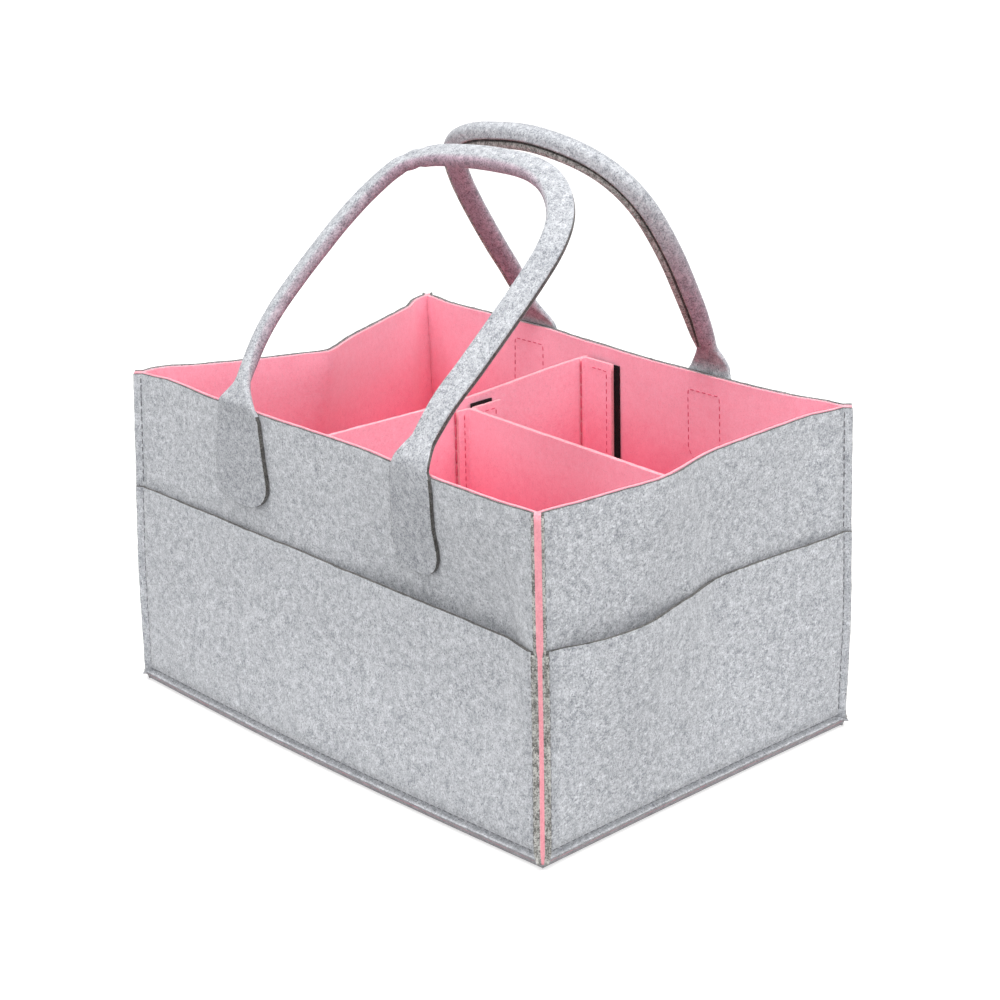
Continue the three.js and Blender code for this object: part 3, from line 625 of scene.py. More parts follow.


# The layers of a side, from the inside out: the offsets of a layer's faces, how much its
# edges fray, its felts, its slot, which felt its foot, side and top edges show, and how
# much each of those is rounded
# The foot edges of all layers show the mauve grey cut felt and the shell's and pockets' top edges the near
# black one, both painted shade
GREYS, PINKS = (GREY, GREY_CUT, SHADED_CUT, SHADED_FOOT_CUT), (PINK, PINK_CUT, SHADED_FOOT_CUT)
LAYERS = {
    "wall_lining": (LINING_NEAR, LINING_FAR, 0.12, PINKS, "pink_felt", (2, 1, 1), (0, 0, 1)),
    "wall_shell": (SHELL_NEAR, SHELL_FAR, 0.25, GREYS, "grey_felt", (3, 1, 2), (1, 1, 1)),
    "pocket": (POCKET_NEAR, POCKET_FAR, 0.3, GREYS, "grey_felt", (3, 1, 2), (1, 1, 1)),
}
SEED_STEP = 7.0
SHEETS, POCKETS = {}, {}
for order, side in enumerate(WALLS):
    wall = Wall(side)
    SHEETS[side], POCKETS[side] = Sheet(wall, False), Sheet(wall, True)
    for kind, (near, far, frayed, felts, slot, cuts, rounding) in LAYERS.items():
        source = (POCKETS if kind == "pocket" else SHEETS)[side]
        drop = wall.shell_drop if kind == "wall_shell" else 0.0
        inner, outer = (
            fray(lowered(source.layer(offset), drop), frayed, SEED_STEP * order + near)
            for offset in (near, far)
        )
        node = f"{side}_{kind}"
        piece = closed_sheet(f"{node}_felt", inner, outer, felts, cuts, rounding)
        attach(dress(piece, slot, node), "caddy")


# Floor: rings from the foot seam inwards

def floor_ring(inset, height):
    """A ring of points under all four walls, set in from their tips."""
    ring = []
    for sheet in SHEETS.values():
        wall = sheet.wall
        u = inset + wall.columns()[:-1] / wall.span * (wall.span - 2 * inset)
        z = np.full_like(u, height)
        ring.append(wall.point(u, z, inset - wall.pushed(u, z)))
    return np.vstack(ring)


FLOOR_SHRINK_SHARES = (0.93, 0.84, 0.72, 0.56, 0.38, 0.2, 0.06)
FLOOR_WAVES, FLOOR_SEED = ((0.18, 30.0, 0),), 2.0
rings = [floor_ring(0.0, FOOT_TIP), floor_ring(FIN, CREST), floor_ring(FIN + FLOOR_SLOPE, FLOOR_LEVEL)]
for shrink in FLOOR_SHRINK_SHARES:
    ring = rings[2].copy()
    ring[:, :2] *= shrink
    ring[:, 2] = FLOOR_LEVEL + waves(ring, FLOOR_WAVES, FLOOR_SEED)
    rings.append(ring)
floor = np.stack(rings, 1)[::-1]
floor_quads = grid_quads(len(floor), len(rings), closed=True)
floor_steps = mitres(floor.reshape(-1, 3), floor_quads).reshape(floor.shape)


def floor_sheet(node, near, far, pressed_near, pressed_far, felts, slot):
    """A floor layer between two offsets, with its own ones at the foot seam's edge."""
    columns, rows = floor.shape[:2]
    share = np.zeros(rows)
    share[-1], share[-2] = 1.0, 0.5
    a, b = (
        (floor + floor_steps * mix(inside, pressed, share)[None, :, None]).reshape(-1, 3)
        for inside, pressed in ((near, pressed_near), (far, pressed_far))
    )
    b[:, 2] = np.maximum(b[:, 2], 0.0)
    count = len(a)
    loop = np.arange(columns) * rows
    nxt = np.roll(loop, -1)
    rim = np.stack([loop, nxt, nxt + count, loop + count], 1)
    hub = loop + rows - 1
    faces = [*(floor_quads + count).tolist(), *floor_quads[:, ::-1].tolist(), *rim.tolist()]
    faces += [(hub + count).tolist(), hub[::-1].tolist()]
    kinds = [0] * (2 * len(floor_quads)) + [1] * columns + [0, 0]
    sharp = [(x + side, y + side) for side in (0, count) for x, y in zip(loop, nxt)]
    piece = add_mesh(f"{node}_felt", np.vstack([a, b]), faces, felts, kinds, sharp)
    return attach(dress(piece, slot, node), "caddy")


# The floor layers' rims show the mauve grey cut felt, painted shade at the foot
floor_sheet("base_lining", LINING_NEAR, LINING_FAR, *FOOT_PRESSED[:2], (PINK, SHADED_FOOT_CUT), "pink_felt")
floor_sheet("base_shell", SHELL_NEAR, SHELL_FAR, FOOT_PRESSED[2], SHELL_FAR, (GREY, SHADED_FOOT_CUT),
            "grey_felt")


# Stitches: short capsules of thread laid along a line on the felt

STITCH, STITCH_GAP, THREAD_RADIUS = 3.0, 1.3, 0.33

# How deep a stitch lies in the felt and how far its ends dip, as shares of its radius
SINK_SHARE, DIP_SHARE = 0.35, 0.25
CAPSULE = [(-1.0, 0.0), (-0.86, 0.62), (-0.5, 0.95), (0.0, 1.0), (0.5, 0.95), (0.86, 0.62), (1.0, 0.0)]
CAPSULE_SIDES = 6


def joined(parts):
    """The points and faces of several parts as one."""
    points, faces = [], []
    for made, sides in parts:
        faces += [tuple(i + len(points) for i in f) for f in sides]
        points += made
    return points, faces


def capsule(a, b, radius, up):
    """Points and faces of one stitch between two points."""
    middle, half = (a + b) / 2, (b - a) / 2
    way = unit(half)
    side = unit(np.cross(up, way))
    top = np.cross(way, side)
    points, faces = [middle - half], []
    for along, wide in CAPSULE[1:-1]:
        dip = -DIP_SHARE * radius * (along * along)
        for k in range(CAPSULE_SIDES):
            angle = 2 * math.pi * k / CAPSULE_SIDES
            offset = side * math.cos(angle) + top * math.sin(angle)
            points.append(middle + half * along + offset * radius * wide + top * dip)
    points.append(middle + half)
    last = len(points) - 1 - CAPSULE_SIDES
    round_it = [(k, (k + 1) % CAPSULE_SIDES) for k in range(CAPSULE_SIDES)]
    for low in range(1, last, CAPSULE_SIDES):
        high = low + CAPSULE_SIDES
        faces += [(low + k, low + nxt, high + nxt, high + k) for k, nxt in round_it]
    for k, nxt in round_it:
        faces += [(0, 1 + nxt, 1 + k), (len(points) - 1, last + k, last + nxt)]
    return points, faces


def seam(line, outward, radius=THREAD_RADIUS, stitch=STITCH, gap=STITCH_GAP):
    """Stitches along a line of points. outward is one direction, or one at each point."""
    line = np.asarray(line, float)
    outward = np.broadcast_to(np.asarray(outward, float), line.shape)
    lengths = run_along(line)
    count = max(1, int((lengths[-1] + gap) / (stitch + gap)))
    pitch = (lengths[-1] + gap) / count
    stitches = []
    for k in range(count):
        ends = [k * pitch, (k + 1) * pitch - gap]
        a, b, up = (
            np.array([np.interp(place, lengths, source[:, c]) for c in range(3)])
            for place, source in ((ends[0], line), (ends[1], line), (sum(ends) / 2, outward))
        )
        lift = unit(up) * radius * (1 - 2 * SINK_SHARE)
        stitches.append(capsule(a + lift, b + lift, radius, up))
    return joined(stitches)


def sew(name, lines, material, body, slot):
    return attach(dress(add_mesh(name, *joined(lines), [material]), slot), body)


PATH_STEP = 2.0


def on_sheet(source, path, offset):
    """The line through (along, height) pairs on a layer of a wall, and its outward way."""
    path = np.asarray(path, float)
    lengths = run_along(path)
    places = np.linspace(0, lengths[-1], max(2, int(lengths[-1] / PATH_STEP)))
    u, z = (np.interp(places, lengths, path[:, k]) for k in range(2))
    line = np.array([source.at(a, b, offset) for a, b in zip(u, z)])
    nearer = np.array([source.at(a, b, offset - 1.0) for a, b in zip(u, z)])
    return line, line - nearer


# Where the outside seams begin and end: from the edge, from a pocket's or rim's top, and
# above the foot seam
SEAM_FROM_EDGE, SEAM_FROM_CUT, SEAM_FROM_POCKET = 3.0, 2.5, 2.0
FOOT_SEAM_FROM_EDGE, FOOT_SEAM_RISE = 8.0, 1.6
outside_lines = []
for side, sheet in SHEETS.items():
    bag, span = POCKETS[side], sheet.wall.span
    for u in (SEAM_FROM_EDGE, span - SEAM_FROM_EDGE):
        top = float(bag.wall.pocket_top(u))
        low_part = [(u, CREST + SEAM_FROM_POCKET), (u, top - SEAM_FROM_POCKET)]
        high_part = [(u, top + SEAM_FROM_CUT), (u, RIM - SEAM_FROM_CUT)]
        outside_lines.append(seam(*on_sheet(bag, low_part, POCKET_FAR)))
        outside_lines.append(seam(*on_sheet(sheet, high_part, SHELL_FAR)))
    foot_part = [(u, CREST + FOOT_SEAM_RISE) for u in (FOOT_SEAM_FROM_EDGE, span - FOOT_SEAM_FROM_EDGE)]
    outside_lines.append(seam(*on_sheet(bag, foot_part, POCKET_FAR)))
sew("outside_seam_stitches", outside_lines, GREY_THREAD, "caddy", "grey_felt")


# Handles: a felt strip sewn flat to the wall at each end and folded into a tube between

# Sections across a handle, as shares of its half width and half thickness. The tube's is a
# quarter and the flat strip's a half of the way round.
TUBE_SHARES = [
    (1, 0), (.99, .22), (.96, .4), (.91, .56), (.84, .69), (.74, .79), (.62, .87),
    (.48, .93), (.33, .97), (.17, .99), (0, 1),
]
FLAT_SHARES = [
    (1, 0), (1, .7), (.97, 1), (.85, 1), (.7, 1), (.52, 1), (.3, 1),
    (.06, 1), (-.17, 1), (-.39, 1), (-.57, 1), (-.7, 1), (-.8, 1),
    (-.89, 1), (-.97, 1), (-1, .8), (-1, .6), (-1, .45), (-1, .3), (-1, .15),
    (-1, 0),
]

# A tube whose edge laps over its visible side, with a slit below the lip
LAPPED_SHARES = [
    (1, 0), (.995, .12), (.98, .24), (.96, .34), (.93, .44), (.89, .54), (.84, .63),
    (.77, .72), (.68, .8), (.57, .87), (.44, .93), (.3, .97), (.14, 1), (-.04, 1),
    (-.22, .98), (-.4, .94), (-.57, .86), (-.72, .75), (-.85, .58), (-.94, .35),
    (-1, 0), (-1, -.2), (-.97, -.4), (-.88, -.56), (-.74, -.66), (-.56, -.68),
    (-.42, -.5), (-.3, -.6), (-.33, -.8), (-.33, -.94), (-.26, -1.04), (-.14, -1.05),
    (0, -1.02), (.18, -1), (.36, -.96), (.54, -.88), (.7, -.76), (.83, -.6),
    (.92, -.4), (.98, -.2),
]


def mirrored(part, flip):
    """A table of points and, back along it, the same points turned over."""
    return part + [(a * flip[0], b * flip[1]) for a, b in reversed(part[:-1])]


TUBE = np.array(mirrored(mirrored(TUBE_SHARES, (-1, 1)), (1, -1))[:-1])
FLAT = np.array(mirrored(FLAT_SHARES, (1, -1))[:-1])
LAPPED = np.array(LAPPED_SHARES)
RING = len(TUBE)
OTHER_WAY = (RING // 2 - np.arange(RING)) % RING
LAPPED_OUT = LAPPED[OTHER_WAY] * (-1, 1)

# Places round the lapped section that show cut felt on the lip, the cut felt's darker grey as painted
# shade on the recessed part under it, and near black cut felt as painted shade in the slit; and the
# places of the flat section's corners
LIP, SLIT, UNDER = range(27, 30), range(25, 27), range(20, 25)
FLAT_FROM, FLAT_TO = 2, 14

LEG_HALF_THICK, FLAT_HALF_THICK, NECK_HALF_THICK = 4.0, 1.6, 1.25
FOLD_HEIGHT = 190.0

# A tab's heights, and its half widths there
TAB_OUTLINE = [
    (127.0, 3.5), (127.5, 7.2), (128.8, 11.4), (130.8, 14.7), (133.4, 17.2), (137.0, 19.2),
    (141.0, 20.0), (146.0, 19.8), (153.0, 18.9), (161.0, 17.9), (170.0, 16.7), (176.0, 16.1),
    (179.5, 15.2), (182.5, 13.6),
]
# Each handle: how its loop leans, in degrees, and the loop's span and rise; where it folds;
# the way inwards; its tabs' middles and its half width. Then, for each tab, its width as a
# share, how much lower it reaches and how far aside its top stands. The strip's cut edge,
# painted near black as its shade, shows from the share cut_from of the loop on. The tables
# run along the loop: its twist in degrees; how far its edge laps one way or, below zero, the
# other; its fold, from flat to a tube; how strongly its underside takes the painted pink
# reflection and shade, and from what share inwards the same painted shade on its inside
# begins; creases as places and depths; its width; and its line, as shares of the span and rise.
HANDLES = {
    "front": dict(
        lean=46.0, span=76.0, rise=165.5, fold_y=-112.0, inward=1, tabs=(-66.5, 70.5), half=7.3,
        wide=(1.08, .86), drop=(0.0, 2.4), shift=(0.0, 3.2),
        twist=[(0, 16), (.5, 18), (1, 15)], lap=[(0, 0), (1, 0)],
        fold=[(0, 0), (.012, 0), (.05, 1), (.58, 1), (.7, .4), (.94, .35), (.985, 0), (1, 0)],
        cut_from=.6,
        under=[(0, 1), (1, 1)],
        inner=[(0, 1.1), (.07, .8), (.3, .74), (.38, .5), (.57, .5), (.66, .8),
               (.74, 1.1), (1, 1.1)],
        pinches=[(.366, .1), (.388, .13)],
        width=[(0, 1.25), (.025, .75), (.05, .58), (.16, .7), (.3, .88), (.4, 1), (.94, 1),
               (.98, 1.05), (1, 1.2)],
        path=[(-.9, .07), (-.95, .17), (-.99, .3), (-.98, .43), (-.95, .55), (-.91, .67),
              (-.83, .8), (-.7, .91), (-.48, .965), (-.16, .99), (.16, 1), (.47, .995),
              (.7, .965), (.88, .91), (1, .84), (1.06, .75), (1.07, .64), (1.05, .47),
              (1.02, .3), (.99, .16), (.97, .07)],
    ),
    "back": dict(
        lean=33.0, span=75.0, rise=146.5, fold_y=108.5, inward=-1, tabs=(-69.0, 69.0), half=6.8,
        wide=(.97, .97), drop=(0.0, 0.0), shift=(0.0, 0.0), cut_from=2.0,
        fold=[(0, 0), (.012, 0), (.047, 1), (.953, 1), (.988, 0), (1, 0)],
        twist=[(0, 16), (.28, 16), (.44, -32), (.7, -38), (1, -38)],
        lap=[(0, 0), (.06, -1), (.3, -1), (.38, 1), (.93, 1), (.98, 0), (1, 0)],
        under=[(0, 1), (.28, .9), (.36, .05), (.7, .05), (.82, .6), (.93, .9), (1, .3)],
        inner=[(0, 1.1), (1, 1.1)], pinches=[],
        width=[(0, 1.25), (.02, .9), (.06, .95), (.12, 1), (.88, 1), (.94, .95),
               (.98, .9), (1, 1.25)],
        path=[(-.93, .08), (-.95, .2), (-.96, .33), (-.96, .46), (-.95, .58), (-.92, .7),
              (-.85, .81), (-.7, .9), (-.47, .955), (-.18, .985), (.12, 1), (.36, .99),
              (.6, .96), (.79, .91), (.92, .84), (1, .75), (1.03, .64), (1.03, .5),
              (1, .35), (.96, .2), (.93, .08)],
    ),
}
# A loop's thickness along it, as a share
LOOP_THICK = [(0, .35), (.02, .6), (.05, .9), (.12, 1), (.3, .98), (.38, .92), (.5, 1.1),
              (.62, .92), (.7, .98), (.88, 1), (.95, .9), (.98, .6), (1, .35)]

# A neck: over what share of the loop its twist grows, its rings, the length of path that
# it takes, its height over the rim, and how much of its ends' ways it keeps
NECK_TURN_SHARE, NECK_RINGS, NECK_LENGTH, NECK_RISE = 0.1, 8, 13.0, 3.0
LEAVE_SHARE, ARRIVE_SHARE = 0.4, 0.8
LOOP_STEP, PINCH_LENGTH, FINE_STEPS = 1.8, 2.4, 1600

# A tab: where its drop ends, its shift begins and its own width ends, each with the height
# that this takes; up to where the corner seam and the wall guide it; its gap to the wall
DROP_TOP, DROP_RUN, SHIFT_FROM, SHIFT_RUN, WIDE_FROM, WIDE_RUN = 150.0, 20.0, 140.0, 35.0, 150.0, 25.0
CORNER_TOP, LEAVE_HEIGHT, TAB_SEAT = 178.0, 177.0, 0.25

# The painted pink reflection and shade: its middle and steepness on the underside, and its steepness and
# most on the inside
UNDER_SHADE_MIDDLE, UNDER_SHADE_STEEP, INNER_SHADE_STEEP, INNER_SHADE_MOST = 0.5, 0.9, 2.4, 0.85


def smooth_path(points, step):
    """A smooth line in even steps, its tangents, the share at each point, and its length."""
    points = np.asarray(points, float)
    lengths = run_along(points, 0.5)
    fine = np.linspace(0, lengths[-1], FINE_STEPS)
    line = np.stack([through(list(zip(lengths, points[:, k])), fine) for k in range(3)], 1)
    run = run_along(line)
    places = np.linspace(0, run[-1], int(round(run[-1] / step)) + 1)
    even = np.stack([np.interp(places, run, line[:, k]) for k in range(3)], 1)
    tangent = np.gradient(even, axis=0)
    for _ in range(2):
        tangent[1:-1] = (tangent[:-2] + 2 * tangent[1:-1] + tangent[2:]) / 4
    return even, unit(tangent), places / run[-1], run[-1]


def loop_rings(h):
    """The rings of a handle's loop, and how each is lapped and cut and takes the painted pink reflection
    and shade.
    """
    lean, inward = math.radians(h["lean"]), h["inward"]
    up = np.array([0, inward * math.sin(lean), math.cos(lean)])
    normal = np.array([0, inward * math.cos(lean), -math.sin(lean)])
    fold = np.array([0, h["fold_y"], FOLD_HEIGHT])
    path = [fold + up * (r * h["rise"]) + np.array([x * h["span"], 0, 0]) for x, r in h["path"]]
    for end in (0, -1):
        path[end] = np.array([h["tabs"][end] + h["shift"][end], h["fold_y"] - inward, RIM + NECK_RISE])
    line, tangent, share, length = smooth_path(path, LOOP_STEP)
    keep = (share * length > NECK_LENGTH) & ((1 - share) * length > NECK_LENGTH)
    rings, laps, cuts, bounce_shades = [], [], [], []
    for centre, way, s in zip(line[keep], tangent[keep], share[keep]):
        twist_deg, width, thick, folded, lap, under, inner = (
            float(through(table, s))
            for table in (h["twist"], h["width"], LOOP_THICK, h["fold"], h["lap"], h["under"], h["inner"])
        )
        outward = unit(np.cross(normal, way) * -inward)
        twist = math.radians(twist_deg) * float(ease(min(s, 1 - s) / NECK_TURN_SHARE))
        wide = outward * math.cos(twist) + normal * math.sin(twist)
        thin = unit(np.cross(way, wide) * inward)
        half_width, half_thick = width * h["half"], max(NECK_HALF_THICK, thick * LEG_HALF_THICK)
        for place, depth in h["pinches"]:
            pinched = 1 - depth * math.exp(-(((s - place) * length / PINCH_LENGTH) ** 2))
            half_width, half_thick = half_width * pinched, half_thick * pinched
        half_thick = mix(min(half_thick, FLAT_HALF_THICK), half_thick, folded)
        lap = float(np.clip(lap, -1, 1))
        section = mix(FLAT, mix(TUBE, LAPPED if lap > 0 else LAPPED_OUT, abs(lap)), folded)
        rings.append(centre + wide * (section[:, :1] * half_width) + thin * (section[:, 1:] * half_thick))
        laps.append(lap)
        cuts.append(s > h["cut_from"])
        # Painted pink reflection and shade, on the underside and on the inside of the loop
        below = np.clip(UNDER_SHADE_MIDDLE - section[:, 1] * UNDER_SHADE_STEEP, 0, 1) * under
        inside = np.clip((-section[:, 0] - inner) * INNER_SHADE_STEEP, 0, INNER_SHADE_MOST)
        bounce_shades.append(np.clip(np.maximum(below, inside), 0, 1) * folded)
    return rings, laps, cuts, bounce_shades


def tab_ring(side, end, z, half):
    """A ring of a handle's tab at a height: on the wall, then on its way to the fold."""
    h, sheet = HANDLES[side], SHEETS[side]
    inward = h["inward"]
    z = z - h["drop"][end] * float(ease((DROP_TOP - z) / DROP_RUN))
    shift = h["shift"][end] * float(ease((z - SHIFT_FROM) / SHIFT_RUN))
    x = h["tabs"][end] + shift + (-1 if end == 0 else 1) * FLAT[:, 0] * half
    corner_x = sheet.wall.point(np.zeros(1), np.array([min(z, CORNER_TOP)]), np.zeros(1))[0, 0]
    on_wall = [sheet.at(float(u), min(z, LEAVE_HEIGHT), SHELL_FAR)[1] for u in np.abs(x - corner_x)]
    middle = np.array(on_wall) - inward * (TAB / 2 + TAB_SEAT)
    if z > LEAVE_HEIGHT:
        climb = (z - LEAVE_HEIGHT) / (FOLD_HEIGHT - LEAVE_HEIGHT)
        middle = mix(middle, h["fold_y"] - inward, climb)
    return np.stack([x, middle - inward * FLAT[:, 1] * TAB / 2, np.full_like(x, z)], 1)


def bridge(a0, a1, b0, b1, steps):
    """Rings between a1 and b0, leaving and arriving smoothly."""
    gap = np.linalg.norm(b0.mean(0) - a1.mean(0))
    leave = unit(a1.mean(0) - a0.mean(0)) * gap * LEAVE_SHARE
    arrive = unit(b1.mean(0) - b0.mean(0)) * gap * ARRIVE_SHARE
    return [
        mix(a1, b0, ease(t)) + leave * t * (1 - t) ** 2 - arrive * t * t * (1 - t)
        for t in np.linspace(0, 1, steps + 2)[1:-1]
    ]


def loop_kind(k, lap, cut):
    """The material of a face of the loop, at its place round the section."""
    if abs(lap) > 1:
        place = k if lap > 0 else int(OTHER_WAY[(k + 1) % RING])
        # On a lapped loop the lip shows cut felt, and the recessed part under it and the slit are painted
        # in darker cut felt, as their shade
        return 2 if place in LIP or place in UNDER else 1 if place in SLIT else 0
    # A cut edge of the strip is painted near black, as its shade
    return 1 if cut and k in (0, RING - 1) else 0


def make_handle(side):
    h = HANDLES[side]
    rings, laps, cuts, bounce_shades = loop_rings(h)
    left, right = [], []
    for z, half in TAB_OUTLINE:
        left.append(tab_ring(side, 0, z, half * h["wide"][0]))
        own_width = mix(h["wide"][1], 1, float(ease((z - WIDE_FROM) / WIDE_RUN)))
        right.insert(0, tab_ring(side, 1, z, half * own_width))
    rise = bridge(left[-2], left[-1], rings[0], rings[1], NECK_RINGS)
    fall = bridge(rings[-2], rings[-1], right[0], right[1], NECK_RINGS)
    every = left + rise + rings + fall + right
    flat_rings, tab_rings, steps = len(left) + len(rise), len(left) - 2, len(every) - 1
    laps = [0.0] * flat_rings + laps + [0.0] * flat_rings
    cuts = [False] * flat_rings + cuts + [h["cut_from"] < 1] * flat_rings
    bare, shares = [np.zeros(RING)] * len(left), np.linspace(0, 1, NECK_RINGS + 2)[1:-1]
    # The painted pink reflection and shade fades in over each neck and is bare on the tabs
    bounce_shade = bare + [bounce_shades[0] * t for t in shares] + bounce_shades + [bounce_shades[-1] * (1 - t) for t in shares] + bare
    faces, kinds, sharp = [], [], []
    for r in range(steps):
        on_tab = min(r, steps - 1 - r) < tab_rings
        if on_tab:
            corners = (FLAT_FROM, FLAT_TO, RING - FLAT_FROM, RING - FLAT_TO)
            sharp += [(r * RING + k, (r + 1) * RING + k) for k in corners]
        for k in range(RING):
            a, b = r * RING + k, r * RING + (k + 1) % RING
            faces.append((a, b, b + RING, a + RING)[::h["inward"]])
            if on_tab:
                # A tab's cut edges are painted near black, as their shade
                kinds.append(0 if FLAT_FROM <= min(k, RING - 1 - k) < FLAT_TO else 1)
            else:
                kinds.append(loop_kind(k, laps[r] + laps[r + 1], cuts[r]))
    faces.append(tuple(range(RING - 1, -1, -1))[::h["inward"]])
    faces.append(tuple(range(steps * RING, (steps + 1) * RING))[::h["inward"]])
    # The strip's two ends, painted near black as shade
    kinds += [1, 1]
    piece = add_mesh(f"{side}_handle_felt", np.vstack(every), faces, (HANDLE, SHADED_CUT, GREY_CUT), kinds,
                     sharp, {"bounce_shade": np.concatenate(bounce_shade)})
    nodes = ("left_handle_tab", "right_handle_tab", "handle_loop")
    dress(piece, "grey_felt", *(f"{side}_{node}" for node in nodes))
    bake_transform(piece)


for side in HANDLES:
    make_handle(side)


# Dividers

CROSS_X, CROSS_BOW, CROSS_FRONT, CROSS_BACK, CROSS_TOP = -22.6, 4.5, -104.2, 102.2, 170.0

# How far the cross divider's back end stands to the right, from what share of its length,
# and how much it rises there
CROSS_SLANT, SLANT_FROM_SHARE, CROSS_RISE, CROSS_COLUMNS = 1.6, 0.55, 2.5, 76
PANEL_ROW, PANEL_FRAY, PANEL_FRAY_WAVE, FRAY_SHIFT = 4.0, 0.2, 5.0, 3.0
PANEL_BOTTOM = FLOOR_LEVEL - LINING_NEAR + GAP
FLAP_BOTTOM = PANEL_BOTTOM + 1.5
LONG_TOP, LONG_START_Y, LONG_END_Y, LONG_END_X, LONG_LIP = 165.0, 6.0, -3.0, 157.6, 8.4
END_FLAP, INNER_TAB, OUTER_TAB, FOLDED_EDGE = 21.0, 20.5, 24.5, 4.0
LONG_BEND, ROUND_POINTS, ROUND_STEP = 2.6, 9, 2.5

# The materials and slot of a pink felt sheet and of a hook tape
PINK_SHEET = dict(materials=(PINK, PINK_CUT), slot="pink_felt")
HOOK_SHEET = dict(materials=(HOOKS, HOOKS), slot="hook_tape")


def upright(name, line, thickness, bottom, top, node, body, seed, stuff=PINK_SHEET, fold=None):
    """An upright sheet whose middle follows a line in plan.

    fold is the body that holds its sewn edge, the place of that fold and the way from it
    across the sheet, for a flap that bends there. Only whether it is given is read: a flap is
    then left in place and not attached to its body.
    """
    line = np.asarray(line, float)
    way = unit(np.gradient(line, run_along(line), axis=0))
    across = np.stack([way[:, 1], -way[:, 0]], 1)
    shares = np.linspace(0, 1, int((np.max(top) - bottom) / PANEL_ROW))
    tops = np.broadcast_to(np.asarray(top, float), (len(line),))
    rows = mix(bottom, tops[:, None], shares[None, :])
    middle = line[:, None, :].repeat(len(shares), 1)
    grids = []
    for way_out in (-0.5, 0.5):
        flat = middle + across[:, None, :] * (way_out * thickness)
        grid = np.concatenate([flat, rows[..., None]], -1)
        grid[:, -1, 2] += PANEL_FRAY * ripple(grid[:, -1], PANEL_FRAY_WAVE, seed + FRAY_SHIFT)
        grids.append(grid)
    piece = dress(closed_sheet(name, *grids, stuff["materials"]), stuff["slot"], node)
    if fold is None:
        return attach(piece, body)
    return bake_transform(piece)


def rounded(points, radius):
    """A plan line through points, its corners rounded, in even steps."""
    points = [np.array(p, float) for p in points]
    made = [points[0]]
    for before, corner, after in zip(points, points[1:], points[2:]):
        a, b = unit(before - corner), unit(after - corner)
        for t in np.linspace(0, 1, ROUND_POINTS):
            made.append(corner + a * radius * (1 - t) ** 2 + b * radius * t**2)
    made.append(points[-1])
    fine = [made[0]]
    for a, b in zip(made, made[1:]):
        count = max(1, int(np.linalg.norm(b - a) / ROUND_STEP))
        fine += [mix(a, b, t) for t in np.linspace(0, 1, count + 1)[1:]]
    return np.array(fine)


pink_lines = {}


def add_seam(body, line, outward, **sizes):
    pink_lines.setdefault(body, []).append(seam(line, outward, **sizes))


# How far stitches stay above a foot. Then, for each kind of flap, the radius and lap of its
# fold, how far its stitches stay from the fold, the free edge and the top, and whether
# they run all round it.
STITCH_RISE = 4.0
CROSS_FLAP = dict(bend=3.0, lap=0.2, insets=(6.0, 3.6, 4.4), closed=False)
LONG_TAB = dict(bend=LONG_BEND, lap=0.0, insets=(5.5, 4.0, 3.5), closed=True)


def flap(node, body, seed, holder, corner, ways, reach, top, bend, lap, insets, closed):
    """A flap with its sewn edge, its fold and its free part, and its stitches.

    ways are the one from its fold to its free edge and the one that its face looks.
    """
    corner, (out, facing) = np.array(corner), np.array(ways, float)
    bent = corner - out * lap
    plan = rounded([bent + facing * FOLDED_EDGE, bent, corner + out * reach], bend)
    # The order of the plan in which the sheet's outer side looks the way of its face
    turn = int(out[1] * facing[0] - out[0] * facing[1])
    upright(f"{node}_felt", plan[::turn], FLAP, FLAP_BOTTOM, top, node, body, seed,
            fold=(holder, corner, out))
    near, far = insets[0], reach - insets[1]
    low, high = FLAP_BOTTOM + STITCH_RISE, top - insets[2]
    path = [(near, low)] * closed + [(near, high), (far, high), (far, low), (near, low)]
    line = [(*(corner + out * along + facing * FLAP / 2), z) for along, z in path]
    add_seam(body, line, (*facing, 0))


# A near-solid line of dark pink thread along a sewn fold or a cut edge, as painted shadow in the
# crease or gap there: its stitches, how far out and past the fold it lies, and how far it stays
# from a flap's foot and top
FOLD_SHADE_DASHES = dict(stitch=7.0, gap=0.2)
FOLD_OUT, FOLD_PAST, FOLD_RISE, FOLD_DROP = 0.5, 4.4, 1.0, 0.8


def fold_shade_line(body, place, bottom, top, outward, radius):
    add_seam(body, [(*place, bottom), (*place, top)], outward, radius=radius, **FOLD_SHADE_DASHES)


def cross_middle(y):
    share = (y - CROSS_FRONT) / (CROSS_BACK - CROSS_FRONT)
    slant = CROSS_SLANT * ease((share - SLANT_FROM_SHARE) / (1 - SLANT_FROM_SHARE))
    return CROSS_X + CROSS_BOW * (1 - np.cos(2 * math.pi * share)) / 2 + slant


def cross_top(y):
    return CROSS_TOP + CROSS_RISE * ease((y - CROSS_FRONT) / (CROSS_BACK - CROSS_FRONT) * 2 - 1)


cross_y = np.linspace(CROSS_FRONT, CROSS_BACK, CROSS_COLUMNS)
upright("cross_divider_felt", np.stack([cross_middle(cross_y), cross_y], 1), PANEL, PANEL_BOTTOM,
        cross_top(cross_y), "cross_divider_panel", "cross_divider", 61.0)

